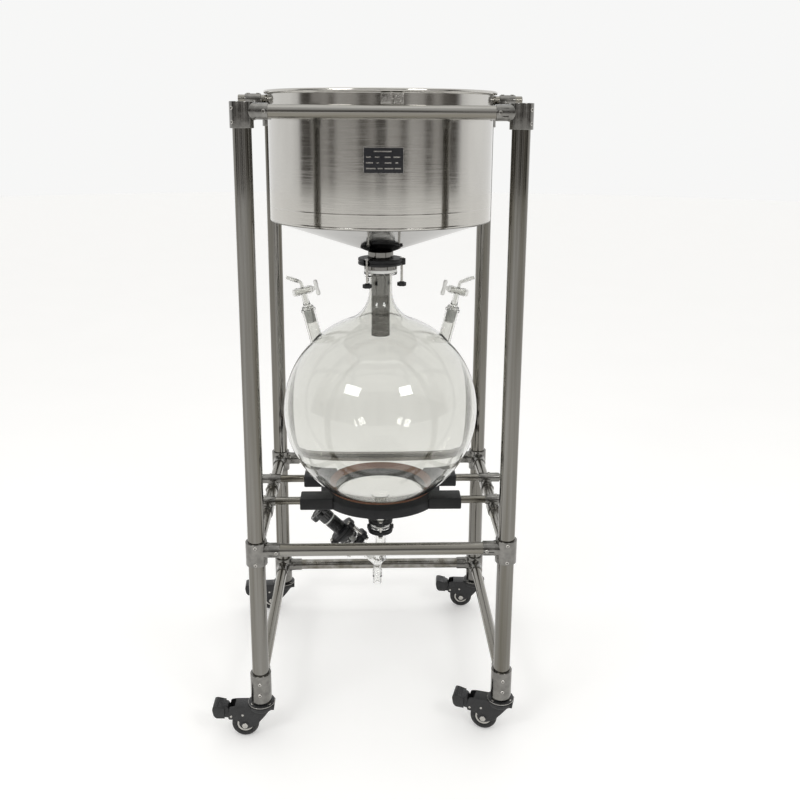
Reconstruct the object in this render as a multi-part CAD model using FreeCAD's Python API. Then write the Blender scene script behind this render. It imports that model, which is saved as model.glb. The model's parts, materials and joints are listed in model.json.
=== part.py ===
import FreeCAD, Part
import math
import os

# Large vacuum filter: a stainless funnel over a spherical glass receiving flask, held by a square
# frame of stainless tube on four braked castors. Millimetres. The origin is on the floor below the
# axis of the funnel and the flask, +Z is up, and the front, with the name plate, faces -Y.

# ---- driving dimensions --------------------------------------------------------------------------
# frame tubes
LEG_OD = 38.0
RAIL_OD = 28.0
TUBE_WALL = 1.5
LOW_RAIL_Z = 137.0
MID_RAIL_Z = 468.0

# funnel
FUNNEL_R = 257.5
FUNNEL_WALL = 1.5
FUNNEL_HEIGHT = 280.0
CONE_DEPTH = 79.0
RIM_WIDTH = 8.5
RIM_HEIGHT = 8.0
RAIL_GAP = 8.5
RIM_ABOVE_RAIL = 40.0
LEDGE_UP = 30.0
LEDGE_WIDTH = 12.0
LEDGE_THICK = 4.0
OUTLET_R = 30.5
OUTLET_LENGTH = 33.0

# receiving flask
FLASK_R = 238.0
FLASK_WALL = 5.0
NECK_R = 28.0
NECK_BORE_R = 25.0
NECK_RISE = 105.0
NECK_FLARE = 75.0
FLANGE_R = 40.0
GLASS_FLANGE_THICK = 6.0
STEEL_FLANGE_THICK = 10.5
PORT_POLAR_DEG = 40.2
PORT_LEAN_DEG = 14.0
PORT_LENGTH = 65.0
PORT_R = 16.0
PORT_BORE_R = 12.5
DRAIN_R = 17.0
DRAIN_BORE_R = 12.0
DRAIN_DROP = 74.0
DRAIN_FLARE = 12.0
DRAIN_FLANGE_R = 25.0

# drip tube between funnel and flask
DRIP_R = 22.5
DRIP_WALL = 1.5
DRIP_DROP = 164.0
GASKET_THICK = 7.0

# flask support ring
RING_R = 150.0
RING_HOLE_R = 112.0
RING_HEIGHT = 32.0
RING_WALL_HEIGHT = 22.0
RING_CHAMFER = 17.0
SEAT_R = 124.0
SEAT_WIDTH = 16.0
SEAT_DROP = 8.0
LINER_THICK = 2.6
ARM_Y = 70.0
ARM_DEPTH = 52.0
ARM_HEIGHT = 29.0
ARM_END = 197.0
ARM_SOCKET = 47.0
BAR_OD = 19.0
BAR_RISE = 25.3

# tube connectors and set screws
SLEEVE_OD = 48.0
ARM_OD = 33.0
ARM_REACH = 53.0
CORNER_ABOVE = 19.0
CORNER_BELOW = 33.0
TEE_ABOVE = 23.0
TEE_BELOW = 32.0
BASE_TOP = 161.0
CASTOR_HEIGHT = 90.0
CORNER_CAP = 3.0
SCREW_R = 4.0
SCREW_PROUD = 1.4
SOCKET_AF = 4.0

# cross clamps
CLAMP_WALL = 2.5
TRUNNION_RISE = 29.5
TRUNNION_PAST_RAIL = 45.0
TRUNNION_CLAMP_LENGTH = 36.0
TRUNNION_CLAMP_OFFSET = 11.0
RAIL_CLAMP_LENGTH = 40.0
RING_CLAMP_LENGTH = 54.0
RING_CLAMP_OFFSET = 5.0
BAR_PAST_RAIL = 38.0
BOSS_R = 14.0
BOSS_THICK = 4.5

# name plate and rim clasp
PLATE_SIZE = (85.0, 55.0)
PLATE_THICK = 1.5
PLATE_DROP = 136.0
CLASP_LUGS = ((-3.0, 18.0), (22.0, 43.0))
CLASP_HEIGHT = 22.0
CLASP_THICK = 7.0
CLASP_BELOW_RIM = 3.0

# filter plate
FILTER_THICK = 3.0
FILTER_GAP = 3.0
FILTER_SEAL_THICK = 1.5
HOLE_R = 4.0
HOLE_PITCH = 35.0
HOLE_RINGS = 6
LIFT_HANDLE_SPAN = 84.0
LIFT_HANDLE_HEIGHT = 30.0
LIFT_HANDLE_R = 4.0

# stopcocks
JOINT_DEPTH = 35.0
COCK_RISE = 45.0
BARREL_R = 10.0
BARREL_HALF = 18.0
PLUG_R = 6.0
HANDLE_OUT = 34.0
HANDLE_HALF = 19.0
HOSE_TUBE_R = 4.5
HOSE_RIDGE_R = 5.6
HOSE_RISE = 22.0
HOSE_OUT = 36.0
HOSE_TILT_DEG = 19.0
HOSE_BEND_R = 8.0

# drain valve, along an axis that rises from the elbow towards -X
VALVE_TILT_DEG = 43.0
ELBOW_X = -8.0
ELBOW_DROP = 100.0
INLET_R = 14.5
INLET_BORE_R = 10.0
VALVE_R = 16.0
VALVE_BORE_R = 12.5
VALVE_LENGTH = 92.0
VALVE_FLANGE_R = 30.0
VALVE_FLANGE_THICK = 10.0
BONNET_R = 18.0
BONNET_LENGTH = 63.0
SPINDLE_R = 6.0
THREAD_R = 13.5
THREAD_LENGTH = 21.0
PISTON_START = 14.0
PISTON_LENGTH = 46.0
WHEEL_HUB_R = 18.5
WHEEL_HUB_LENGTH = 21.0
HANDWHEEL_R = 31.0
HANDWHEEL_THICK = 14.0
TAIL_R = 11.0
TAIL_SHANK_R = TAIL_R - 0.7
TAIL_RIDGE_R = 12.5
TAIL_BORE_R = 7.5
TAIL_DROP = 66.0
TAIL_TIP = 12.0
COLLAR_THICK = 3.2
DRAIN_GASKET = 3.0

# lobed clamps: neck, drain and valve
NECK_CLAMP_R = 54.0
NECK_CLAMP_LOBE_PITCH = 51.0
NECK_CLAMP_LOBE_R = 9.0
NECK_CLAMP_THICK = 15.0
NECK_CLAMP_PHASE_DEG = -9.0
SMALL_CLAMP_R = 31.0
SMALL_CLAMP_LOBE_PITCH = 32.0
SMALL_CLAMP_LOBE_R = 6.5
SMALL_CLAMP_THICK = 10.5
DRAIN_CLAMP_PHASE_DEG = 30.0
VALVE_CLAMP_R = 36.0
VALVE_CLAMP_LOBE_PITCH = 36.5
VALVE_CLAMP_LOBE_R = 7.0
VALVE_CLAMP_THICK = 15.0
VALVE_CLAMP_PHASE_DEG = 90.0
CLAMP_SCREW_R = 3.0
KNOB_R = 11.0
KNOB_HEIGHT = 11.0

# castors
WHEEL_R = 31.5
WHEEL_WIDTH = 25.0
TREAD_ROUND = 6.0
TRAIL = 38.0
FORK_GAP = 1.5
FORK_PLATE = 3.0
CROWN_TOP = 81.0
CROWN_THICK = 11.0
SWIVEL_DISC_R = 31.0
SWIVEL_DISC_THICK = 6.0
KINGPIN_R = 6.0
AXLE_R = 4.0
PEDAL_PIN = (70.0, 55.0)
PEDAL_PIN_R = 3.0
PEDAL_HALF_WIDTH = 20.0
CASTOR_ANGLES_DEG = {"front_left": 180.0, "front_right": 163.0, "rear_left": 184.0, "rear_right": 176.0}

# clearances
TUBE_FIT = 0.15
RUNNING = 0.05
FACE_GAP = 0.5

# ---- places that follow from them ---------------------------------------------------------------
SPAN = 2 * (FUNNEL_R + RAIL_GAP + RAIL_OD / 2)
HALF = SPAN / 2
BAR_Z = MID_RAIL_Z + BAR_RISE
RING_BOTTOM = BAR_Z - ARM_HEIGHT / 2
SEAT_Z = RING_BOTTOM + RING_HEIGHT - SEAT_DROP
FLASK_Z = SEAT_Z + math.sqrt((FLASK_R + LINER_THICK) ** 2 - SEAT_R ** 2)
NECK_TOP = FLASK_Z + FLASK_R + NECK_RISE
STEEL_FLANGE_Z = NECK_TOP + GASKET_THICK
OUTLET_TOP = STEEL_FLANGE_Z + STEEL_FLANGE_THICK + OUTLET_LENGTH
FUNNEL_Z = OUTLET_TOP + CONE_DEPTH - 1.5
FUNNEL_TOP = FUNNEL_Z + FUNNEL_HEIGHT
TOP_RAIL_Z = FUNNEL_TOP - RIM_ABOVE_RAIL
TRUNNION_Z = TOP_RAIL_Z + TRUNNION_RISE
LEDGE_Z = FUNNEL_Z + LEDGE_UP
FLASK_BOTTOM = FLASK_Z - FLASK_R
DRAIN_Z = FLASK_BOTTOM - DRAIN_DROP
ELBOW = (ELBOW_X, 0.0, DRAIN_Z - ELBOW_DROP)
VALVE_AXIS = (-math.cos(math.radians(VALVE_TILT_DEG)), 0.0, math.sin(math.radians(VALVE_TILT_DEG)))
BONNET_START = VALVE_LENGTH + VALVE_FLANGE_THICK + FACE_GAP
BONNET_END = BONNET_START + BONNET_LENGTH
HUB_START = BONNET_END + COLLAR_THICK + 2 * FACE_GAP
WHEEL_START = HUB_START + WHEEL_HUB_LENGTH
CORNERS = {
    "front_left": (-1, -1),
    "front_right": (1, -1),
    "rear_left": (-1, 1),
    "rear_right": (1, 1),
}
UP = (0.0, 0.0, 1.0)
DOWN = (0.0, 0.0, -1.0)


# ---- geometry helpers ---------------------------------------------------------------------------
def along(point, axis, distance):
    """The point that lies a distance from another along a unit direction."""
    return tuple(p + a * distance for p, a in zip(point, axis))


def rod(radius, length, origin, axis=UP):
    """Plain cylinder."""
    return Part.makeCylinder(radius, length, FreeCAD.Vector(*origin), FreeCAD.Vector(*axis))


def turned(outline, origin=(0.0, 0.0, 0.0), axis=UP):
    """Solid of revolution. The outline holds (radius, height) corners, and an arc is a pair of
    such corners: a point on it and its end."""
    edges = []
    here = outline[0]
    for step in outline[1:] + outline[:1]:
        if isinstance(step[0], tuple):
            middle, there = step
            arc = Part.Arc(*[FreeCAD.Vector(r, 0, h) for r, h in (here, middle, there)])
            edges.append(arc.toShape())
        elif step != here:
            there = step
            ends = [FreeCAD.Vector(r, 0, h) for r, h in (here, there)]
            edges.append(Part.makeLine(*ends))
        here = there
    solid = Part.Face(Part.Wire(edges)).revolve(FreeCAD.Vector(0, 0, 0), FreeCAD.Vector(*UP), 360)
    return put(solid, origin, axis)


def put(shape, origin, axis=UP):
    """The shape, built along +Z from the origin, carried to a place and turned onto an axis."""
    turn = FreeCAD.Rotation(FreeCAD.Vector(*UP), FreeCAD.Vector(*axis))
    return moved(shape, FreeCAD.Placement(FreeCAD.Vector(*origin), turn))


def moved(shape, placement):
    """The shape carried by a placement on top of its own."""
    placed = shape.copy()
    placed.Placement = placement.multiply(shape.Placement)
    return placed


def bar(radius, length, origin, axis=UP, chamfer=0.8):
    """Solid bar with chamfered ends."""
    return turned(
        [(0, 0), (radius - chamfer, 0), (radius, chamfer), (radius, length - chamfer),
         (radius - chamfer, length), (0, length)],
        origin, axis,
    )


def tube(radius, wall, length, origin, axis=UP):
    """Open tube."""
    inner = radius - wall
    return turned([(inner, 0), (radius, 0), (radius, length), (inner, length)], origin, axis)


def joined(shapes):
    """One solid out of overlapping ones."""
    first, rest = shapes[0], shapes[1:]
    return first.fuse(rest).removeSplitter() if rest else first


def box(low, high):
    """Box between two corners."""
    size = [b - a for a, b in zip(low, high)]
    return Part.makeBox(*size, FreeCAD.Vector(*low))


def slab(points, start, end):
    """Plate with an outline in the XZ plane, between two Y values."""
    corners = [FreeCAD.Vector(x, start, z) for x, z in points]
    face = Part.Face(Part.makePolygon(corners + corners[:1]))
    return face.extrude(FreeCAD.Vector(0, end - start, 0))


def ball_height(radius, r):
    """Height of the lower half of a ball about the flask's centre, at a distance from its axis."""
    return FLASK_Z - math.sqrt(radius ** 2 - r ** 2)


def write(name, solids):
    """One STEP file for a node, which may be a group of separate solids."""
    shape = solids[0] if len(solids) == 1 else Part.makeCompound(solids)
    shape.exportStep(os.path.join("parts", name + ".step"))


# ---- set screws and connectors ------------------------------------------------------------------
set_screws = []


def set_screw(axis_point, normal, tube_r, sleeve_r):
    """Adds a hexagon socket set screw that presses on a tube through its sleeve, and returns the
    hole that the sleeve needs."""
    seat = tube_r + RUNNING
    length = sleeve_r + SCREW_PROUD - seat
    body = bar(SCREW_R, length, (0, 0, 0), UP, 0.6)
    hexagon = [
        FreeCAD.Vector(SOCKET_AF / math.sqrt(3) * math.cos(math.radians(60 * k)),
                       SOCKET_AF / math.sqrt(3) * math.sin(math.radians(60 * k)), length - 2)
        for k in range(7)
    ]
    socket = Part.Face(Part.makePolygon(hexagon)).extrude(FreeCAD.Vector(0, 0, 3))
    set_screws.append(put(body.cut(socket), along(axis_point, normal, seat), normal))
    return rod(SCREW_R + RUNNING, sleeve_r - tube_r + 2, along(axis_point, normal, tube_r - 1), normal)


def connector(corner, low, high, rail_z, arms, screw_heights, screw_normal, capped=False):
    """Cast sleeve on a leg, with a blind socket for each rail."""
    x, y = (side * HALF for side in corner)
    socket_start = SLEEVE_OD / 2 + 2
    bodies = [bar(SLEEVE_OD / 2, high - low, (x, y, low), UP, 1.2)]
    cuts = [rod(LEG_OD / 2 + TUBE_FIT, high - low - (CORNER_CAP if capped else 0), (x, y, low))]
    for arm in arms:
        outward = (0.0, corner[1], 0.0) if arm[0] else (corner[0], 0.0, 0.0)
        socket = along((x, y, rail_z), arm, socket_start)
        bodies.append(bar(ARM_OD / 2, ARM_REACH, (x, y, rail_z), arm, 1.0))
        cuts.append(rod(RAIL_OD / 2 + TUBE_FIT, ARM_REACH - socket_start + 1, socket, arm))
        screw_at = along((x, y, rail_z), arm, ARM_REACH - 8)
        cuts.append(set_screw(screw_at, outward, RAIL_OD / 2, ARM_OD / 2))
    for height in screw_heights:
        cuts.append(set_screw((x, y, height), screw_normal, LEG_OD / 2, SLEEVE_OD / 2))
    return joined(bodies).cut(cuts)


def inward_arms(corner, along_x=True, along_y=True):
    """Directions of the rails that leave a corner of the frame."""
    arms = []
    if along_x:
        arms.append((-float(corner[0]), 0.0, 0.0))
    if along_y:
        arms.append((0.0, -float(corner[1]), 0.0))
    return arms


def top_corners():
    """Capped corner pieces that join the top rails to the legs."""
    solids = []
    for corner in CORNERS.values():
        diagonal = (corner[0] / math.sqrt(2), corner[1] / math.sqrt(2), 0.0)
        low, high = TOP_RAIL_Z - CORNER_BELOW, TOP_RAIL_Z + CORNER_ABOVE
        solids.append(connector(corner, low, high, TOP_RAIL_Z, inward_arms(corner),
                                (low + 12, high - 13), diagonal, capped=True))
    return solids


def mid_tees():
    """Tees that join the middle rails to the legs."""
    solids = []
    for corner in CORNERS.values():
        low, high = MID_RAIL_Z - TEE_BELOW, MID_RAIL_Z + TEE_ABOVE
        solids.append(connector(corner, low, high, MID_RAIL_Z, inward_arms(corner),
                                (low + 7, high - 7), (0.0, float(corner[1]), 0.0)))
    return solids


def base_sleeves():
    """Sleeves at the foot of each leg. The front stays open, so the front pair has no X arm."""
    solids = []
    for corner in CORNERS.values():
        arms = inward_arms(corner, along_x=corner[1] > 0)
        solids.append(connector(corner, CASTOR_HEIGHT, BASE_TOP, LOW_RAIL_Z, arms,
                                (BASE_TOP - 19, CASTOR_HEIGHT + 24), (0.0, float(corner[1]), 0.0)))
    return solids


def leg(corner):
    """Upright tube from its castor stem to the cap of its top corner."""
    bottom = CASTOR_HEIGHT + 2
    top = TOP_RAIL_Z + CORNER_ABOVE - CORNER_CAP - FACE_GAP
    return tube(LEG_OD / 2, TUBE_WALL, top - bottom, (corner[0] * HALF, corner[1] * HALF, bottom))


def rail(height, side):
    """Horizontal tube between two connectors. The side is front, rear, left or right."""
    end = SLEEVE_OD / 2 + 2 + FACE_GAP
    length = SPAN - 2 * end
    if side in ("front", "rear"):
        y = -HALF if side == "front" else HALF
        return tube(RAIL_OD / 2, TUBE_WALL, length, (-HALF + end, y, height), (1.0, 0.0, 0.0))
    x = -HALF if side == "left" else HALF
    return tube(RAIL_OD / 2, TUBE_WALL, length, (x, -HALF + end, height), (0.0, 1.0, 0.0))


def cross_clamp(side, y, rail_z, bar_z, offset, length, top_screws):
    """Two sleeves at right angles with a web between: one on a side rail, one on a bar along X."""
    x = side * HALF
    rail_r = RAIL_OD / 2 + CLAMP_WALL
    bar_r = BAR_OD / 2 + CLAMP_WALL
    centre = side * (HALF + offset)
    rail_start = (x, y - RAIL_CLAMP_LENGTH / 2, rail_z)
    bar_start = (centre - length / 2, y, bar_z)
    web = box((x - bar_r, y - bar_r, rail_z), (x + bar_r, y + bar_r, bar_z))
    bodies = [
        bar(rail_r, RAIL_CLAMP_LENGTH, rail_start, (0.0, 1.0, 0.0)),
        bar(bar_r, length, bar_start, (1.0, 0.0, 0.0)),
        web,
    ]
    cuts = [
        rod(RAIL_OD / 2 + TUBE_FIT, RAIL_CLAMP_LENGTH, rail_start, (0.0, 1.0, 0.0)),
        rod(BAR_OD / 2 + TUBE_FIT, 2 * length, along(bar_start, (1.0, 0.0, 0.0), -length / 2),
            (1.0, 0.0, 0.0)),
    ]
    for shift in top_screws:
        cuts.append(set_screw((centre + shift, y, bar_z), UP, BAR_OD / 2, bar_r))
    cuts.append(set_screw((x, y - RAIL_CLAMP_LENGTH / 2 + 8, rail_z), (float(side), 0.0, 0.0),
                          RAIL_OD / 2, rail_r))
    return joined(bodies).cut(cuts)


# ---- funnel --------------------------------------------------------------------------------------
def funnel_wall():
    """Cylinder with a rolled rim and a ledge inside for the filter plate."""
    outer, inner = FUNNEL_R, FUNNEL_R - FUNNEL_WALL
    roll = RIM_HEIGHT / 2
    return turned([
        (inner, FUNNEL_Z), (outer, FUNNEL_Z), (outer, FUNNEL_TOP),
        (outer + RIM_WIDTH - roll, FUNNEL_TOP),
        ((outer + RIM_WIDTH, FUNNEL_TOP + roll), (outer + RIM_WIDTH - roll, FUNNEL_TOP + RIM_HEIGHT)),
        (inner + roll, FUNNEL_TOP + RIM_HEIGHT),
        ((inner + roll * (1 - math.sqrt(0.5)), FUNNEL_TOP + roll * (1 + math.sqrt(0.5))),
         (inner, FUNNEL_TOP + roll)),
        (inner, LEDGE_Z), (inner - LEDGE_WIDTH, LEDGE_Z),
        (inner - LEDGE_WIDTH, LEDGE_Z - LEDGE_THICK), (inner, LEDGE_Z - LEDGE_THICK),
    ])


def funnel_cone():
    """Shallow cone, outlet tube and flange."""
    flange_top = STEEL_FLANGE_Z + STEEL_FLANGE_THICK
    bore = DRIP_R + TUBE_FIT
    return turned([
        (bore, STEEL_FLANGE_Z), (FLANGE_R, STEEL_FLANGE_Z), (FLANGE_R, flange_top),
        (OUTLET_R, flange_top), (OUTLET_R, OUTLET_TOP),
        (FUNNEL_R, FUNNEL_Z - FUNNEL_WALL), (FUNNEL_R, FUNNEL_Z),
        (FUNNEL_R - 4, FUNNEL_Z), (OUTLET_R - FUNNEL_WALL, OUTLET_TOP + FUNNEL_WALL),
        (OUTLET_R - FUNNEL_WALL, flange_top), (bore, flange_top),
    ])


def trunnion(side):
    """Bar that carries the funnel, with a boss shaped to its wall."""
    axis = (float(side), 0.0, 0.0)
    start = FUNNEL_R + BOSS_THICK
    boss = rod(BOSS_R, start - FUNNEL_R + 12, (side * (FUNNEL_R - 12), 0, TRUNNION_Z), axis)
    arm = bar(BAR_OD / 2, HALF + TRUNNION_PAST_RAIL - start + 2,
              along((0, 0, TRUNNION_Z), axis, start - 2), axis, 1.5)
    wall = rod(FUNNEL_R + RUNNING, 4 * BOSS_R, (0, 0, TRUNNION_Z - 2 * BOSS_R))
    rim = rod(FUNNEL_R + RIM_WIDTH, RIM_HEIGHT, (0, 0, FUNNEL_TOP - RUNNING))
    return joined([boss, arm]).cut([wall, rim])


def on_wall(low_x, high_x, low_z, high_z, thick):
    """Plate curved to the front of the funnel."""
    start = FUNNEL_R + RUNNING
    shell = tube(start + thick, thick, high_z - low_z, (0, 0, low_z))
    return shell.common(box((low_x, -start - thick - 1, low_z), (high_x, 0, high_z)))


def name_plate():
    """Blank name plate."""
    width, height = PLATE_SIZE
    middle = FUNNEL_TOP - PLATE_DROP
    return on_wall(-width / 2 + 3, width / 2 + 3, middle - height / 2, middle + height / 2,
                   PLATE_THICK)


def rim_clasp():
    """Pair of lugs below the rim, drawn together by a screw."""
    high = FUNNEL_TOP - CLASP_BELOW_RIM
    low = high - CLASP_HEIGHT
    lugs = [on_wall(start, end, low, high, CLASP_THICK) for start, end in CLASP_LUGS]
    middle = (CLASP_LUGS[0][1] - 8, -FUNNEL_R - CLASP_THICK / 2, (low + high) / 2)
    screw = rod(2.5, CLASP_LUGS[1][0] - CLASP_LUGS[0][1] + 16, middle, (1.0, 0.0, 0.0))
    return joined(lugs + [screw])


def filter_plate():
    """Perforated plate with rings of holes."""
    radius = FUNNEL_R - FUNNEL_WALL - FILTER_GAP
    low = LEDGE_Z + FILTER_SEAL_THICK
    holes = [rod(HOLE_R, FILTER_THICK + 2, (0, 0, low - 1))]
    for ring in range(1, HOLE_RINGS + 1):
        count = 6 * ring
        for k in range(count):
            turn = 2 * math.pi * k / count
            x, y = ring * HOLE_PITCH * math.cos(turn), ring * HOLE_PITCH * math.sin(turn)
            holes.append(rod(HOLE_R, FILTER_THICK + 2, (x, y, low - 1)))
    return rod(radius, FILTER_THICK, (0, 0, low)).cut(Part.makeCompound(holes))


def lift_handle():
    """Bent rod welded on the filter plate, by which it is lifted out."""
    low = LEDGE_Z + FILTER_SEAL_THICK + FILTER_THICK
    high = low + LIFT_HANDLE_HEIGHT - LIFT_HANDLE_R
    reach = LIFT_HANDLE_SPAN / 2
    y = HOLE_PITCH / 2
    pieces = [rod(LIFT_HANDLE_R, 2 * reach, (-reach, y, high), (1.0, 0.0, 0.0))]
    for x in (-reach, reach):
        pieces.append(rod(LIFT_HANDLE_R, high - low, (x, y, low)))
        pieces.append(Part.makeSphere(LIFT_HANDLE_R, FreeCAD.Vector(x, y, high)))
    return joined(pieces)


def filter_seal():
    """Flat seal between the ledge and the filter plate."""
    outer = FUNNEL_R - FUNNEL_WALL - FILTER_GAP
    return tube(outer, LEDGE_WIDTH - FILTER_GAP, FILTER_SEAL_THICK, (0, 0, LEDGE_Z))


def drip_tube():
    """Tube that carries the filtrate down into the flask."""
    top = STEEL_FLANGE_Z + STEEL_FLANGE_THICK - 2
    bottom = STEEL_FLANGE_Z - DRIP_DROP
    return tube(DRIP_R, DRIP_WALL, top - bottom, (0, 0, bottom))


# ---- flask ---------------------------------------------------------------------------------------
def flare(neck_r, ball_r, blend, sign):
    """Fillet between a neck and the ball, above (sign 1) or below (sign -1) its centre: the height
    where it leaves the neck, its middle and its end on the ball."""
    centre_r = neck_r + blend
    rise = math.sqrt((ball_r + blend) ** 2 - centre_r ** 2)
    end = (centre_r * ball_r / (ball_r + blend), FLASK_Z + sign * rise * ball_r / (ball_r + blend))
    lean = math.atan2(rise, centre_r)
    turn = lean / 2
    middle = (centre_r - blend * math.cos(turn), FLASK_Z + sign * (rise - blend * math.sin(turn)))
    return FLASK_Z + sign * rise, middle, end


def flask_outline(neck_r, drain_r, ball_r, top, bottom, grow):
    """Half outline of the flask's outside, or of its inside, from bottom to top."""
    drain_z, drain_middle, drain_end = flare(drain_r, ball_r, DRAIN_FLARE + grow, -1)
    neck_z, neck_middle, neck_end = flare(neck_r, ball_r, NECK_FLARE + grow, 1)
    return [
        (0, bottom), (drain_r, bottom), (drain_r, drain_z), (drain_middle, drain_end),
        ((ball_r, FLASK_Z), neck_end), (neck_middle, (neck_r, neck_z)), (neck_r, top), (0, top),
    ]


def port_line(side):
    """Foot and direction of a side port."""
    polar, lean = math.radians(PORT_POLAR_DEG), math.radians(PORT_LEAN_DEG)
    reach = FLASK_R + 9
    foot = (side * reach * math.sin(polar), 0.0, FLASK_Z + reach * math.cos(polar))
    return foot, (side * math.sin(lean), 0.0, math.cos(lean))


def receiving_flask():
    """Round glass flask with a flanged neck, two side ports and a flanged drain."""
    outside = [
        turned(flask_outline(NECK_R, DRAIN_R, FLASK_R, NECK_TOP, DRAIN_Z, 0)),
        rod(FLANGE_R, GLASS_FLANGE_THICK, (0, 0, NECK_TOP - GLASS_FLANGE_THICK)),
        rod(DRAIN_FLANGE_R, GLASS_FLANGE_THICK, (0, 0, DRAIN_Z)),
    ]
    inside = [turned(flask_outline(NECK_BORE_R, DRAIN_BORE_R, FLASK_R - FLASK_WALL,
                                   NECK_TOP + 1, DRAIN_Z - 1, 3))]
    for side in (-1, 1):
        foot, axis = port_line(side)
        outside.append(rod(PORT_R, PORT_LENGTH + 25, along(foot, axis, -25), axis))
        bead = [(PORT_R - 1, 0), (PORT_R, 0), ((PORT_R + 2, 3), (PORT_R, 6)), (PORT_R - 1, 6)]
        outside.append(turned(bead, along(foot, axis, PORT_LENGTH - 6), axis))
        inside.append(rod(PORT_BORE_R, PORT_LENGTH + 52, along(foot, axis, -50), axis))
    return joined(outside).cut(inside)


def seat_liner():
    """Soft ring between the flask and its support ring, curved to the flask."""
    inner, outer = FLASK_R + RUNNING, FLASK_R + LINER_THICK - RUNNING
    near, far = SEAT_R - SEAT_WIDTH / 2, SEAT_R + SEAT_WIDTH / 2
    return turned([
        (near, ball_height(inner, near)), (near, ball_height(outer, near)),
        ((SEAT_R, ball_height(outer, SEAT_R)), (far, ball_height(outer, far))),
        (far, ball_height(inner, far)),
        ((SEAT_R, ball_height(inner, SEAT_R)), (near, ball_height(inner, near))),
    ])


def support_ring():
    """Black ring with a seat for the flask and four arms that take the carrying bars."""
    top = RING_BOTTOM + RING_HEIGHT
    rim = turned([
        (0, RING_BOTTOM), (RING_R - 1.5, RING_BOTTOM), (RING_R, RING_BOTTOM + 1.5),
        (RING_R, RING_BOTTOM + RING_WALL_HEIGHT), (RING_R - RING_CHAMFER, top), (0, top),
    ])
    bodies = [rim]
    cuts = [
        rod(RING_HOLE_R, RING_HEIGHT + 2, (0, 0, RING_BOTTOM - 1)),
        Part.makeSphere(FLASK_R + LINER_THICK, FreeCAD.Vector(0, 0, FLASK_Z)),
    ]
    for side in (-1, 1):
        for y in (-ARM_Y, ARM_Y):
            xs = sorted((side * (RING_HOLE_R + 4), side * ARM_END))
            arm = box((xs[0], y - ARM_DEPTH / 2, RING_BOTTOM),
                      (xs[1], y + ARM_DEPTH / 2, RING_BOTTOM + ARM_HEIGHT))
            long_edges = [e for e in arm.Edges if abs(e.tangentAt(e.FirstParameter).x) > 0.9]
            bodies.append(arm.makeFillet(3.5, long_edges))
            start = (side * (ARM_END - ARM_SOCKET), y, BAR_Z)
            cuts.append(rod(BAR_OD / 2 + TUBE_FIT, ARM_SOCKET + 1, start, (float(side), 0.0, 0.0)))
    return joined(bodies).cut(cuts)


def ring_bars():
    """Bars from the ring's arms to the clamps on the side rails."""
    solids = []
    start = ARM_END - ARM_SOCKET + FACE_GAP
    for side in (-1, 1):
        for y in (-ARM_Y, ARM_Y):
            solids.append(bar(BAR_OD / 2, HALF + BAR_PAST_RAIL - start, (side * start, y, BAR_Z),
                              (float(side), 0.0, 0.0), 1.5))
    return solids


# ---- lobed clamps --------------------------------------------------------------------------------
def lobes(pitch, phase_deg):
    """Centres of three lobes on a circle."""
    turns = [math.radians(phase_deg + 120 * k) for k in range(3)]
    return [(pitch * math.cos(t), pitch * math.sin(t)) for t in turns]


def lobed_ring(hole_r, body_r, pitch, lobe_r, thick, phase_deg):
    """Clamp ring with three lobes, each drilled for a screw. Built on the XY plane."""
    bodies = [bar(body_r, thick, (0, 0, 0), UP, 2.0)]
    cuts = [rod(hole_r, thick + 2, (0, 0, -1))]
    for x, y in lobes(pitch, phase_deg):
        bodies.append(bar(lobe_r, thick, (x, y, 0), UP, 1.5))
        cuts.append(rod(CLAMP_SCREW_R + TUBE_FIT, thick + 2, (x, y, -1)))
    return joined(bodies).cut(cuts)


def neck_clamp_levels():
    """Heights of the undersides of the two neck clamp rings."""
    upper = STEEL_FLANGE_Z + STEEL_FLANGE_THICK + FACE_GAP
    lower = NECK_TOP - GLASS_FLANGE_THICK - FACE_GAP - NECK_CLAMP_THICK
    return upper, lower


def neck_clamp_rings():
    """Rings above the steel flange and below the glass one."""
    upper, lower = neck_clamp_levels()
    solids = []
    for level, hole in ((upper, OUTLET_R), (lower, NECK_R)):
        ring = lobed_ring(hole + FACE_GAP, NECK_CLAMP_R, NECK_CLAMP_LOBE_PITCH, NECK_CLAMP_LOBE_R,
                          NECK_CLAMP_THICK, NECK_CLAMP_PHASE_DEG)
        solids.append(put(ring, (0, 0, level)))
    return solids


def neck_clamp_knobs():
    """Screws of the neck clamp, with a round knob below each."""
    upper, lower = neck_clamp_levels()
    top = upper + NECK_CLAMP_THICK + 2
    bottom = lower - KNOB_HEIGHT - 1
    solids = []
    for x, y in lobes(NECK_CLAMP_LOBE_PITCH, NECK_CLAMP_PHASE_DEG):
        solids.append(turned([
            (0, 0), (KNOB_R - 2, 0), (KNOB_R, 2), (KNOB_R, KNOB_HEIGHT - 4),
            (KNOB_R - 2, KNOB_HEIGHT - 2), (5, KNOB_HEIGHT), (CLAMP_SCREW_R, KNOB_HEIGHT),
            (CLAMP_SCREW_R, top - bottom), (0, top - bottom),
        ], (x, y, bottom)))
    return solids


def flange_gaskets():
    """White gaskets of the neck and of the drain."""
    return [
        tube(FLANGE_R, FLANGE_R - DRIP_R - 1.5, GASKET_THICK - 0.2, (0, 0, NECK_TOP + 0.1)),
        tube(DRAIN_FLANGE_R - 1, DRAIN_FLANGE_R - 1 - DRAIN_BORE_R, DRAIN_GASKET - 0.2,
             (0, 0, DRAIN_Z - DRAIN_GASKET + 0.1)),
    ]


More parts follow.
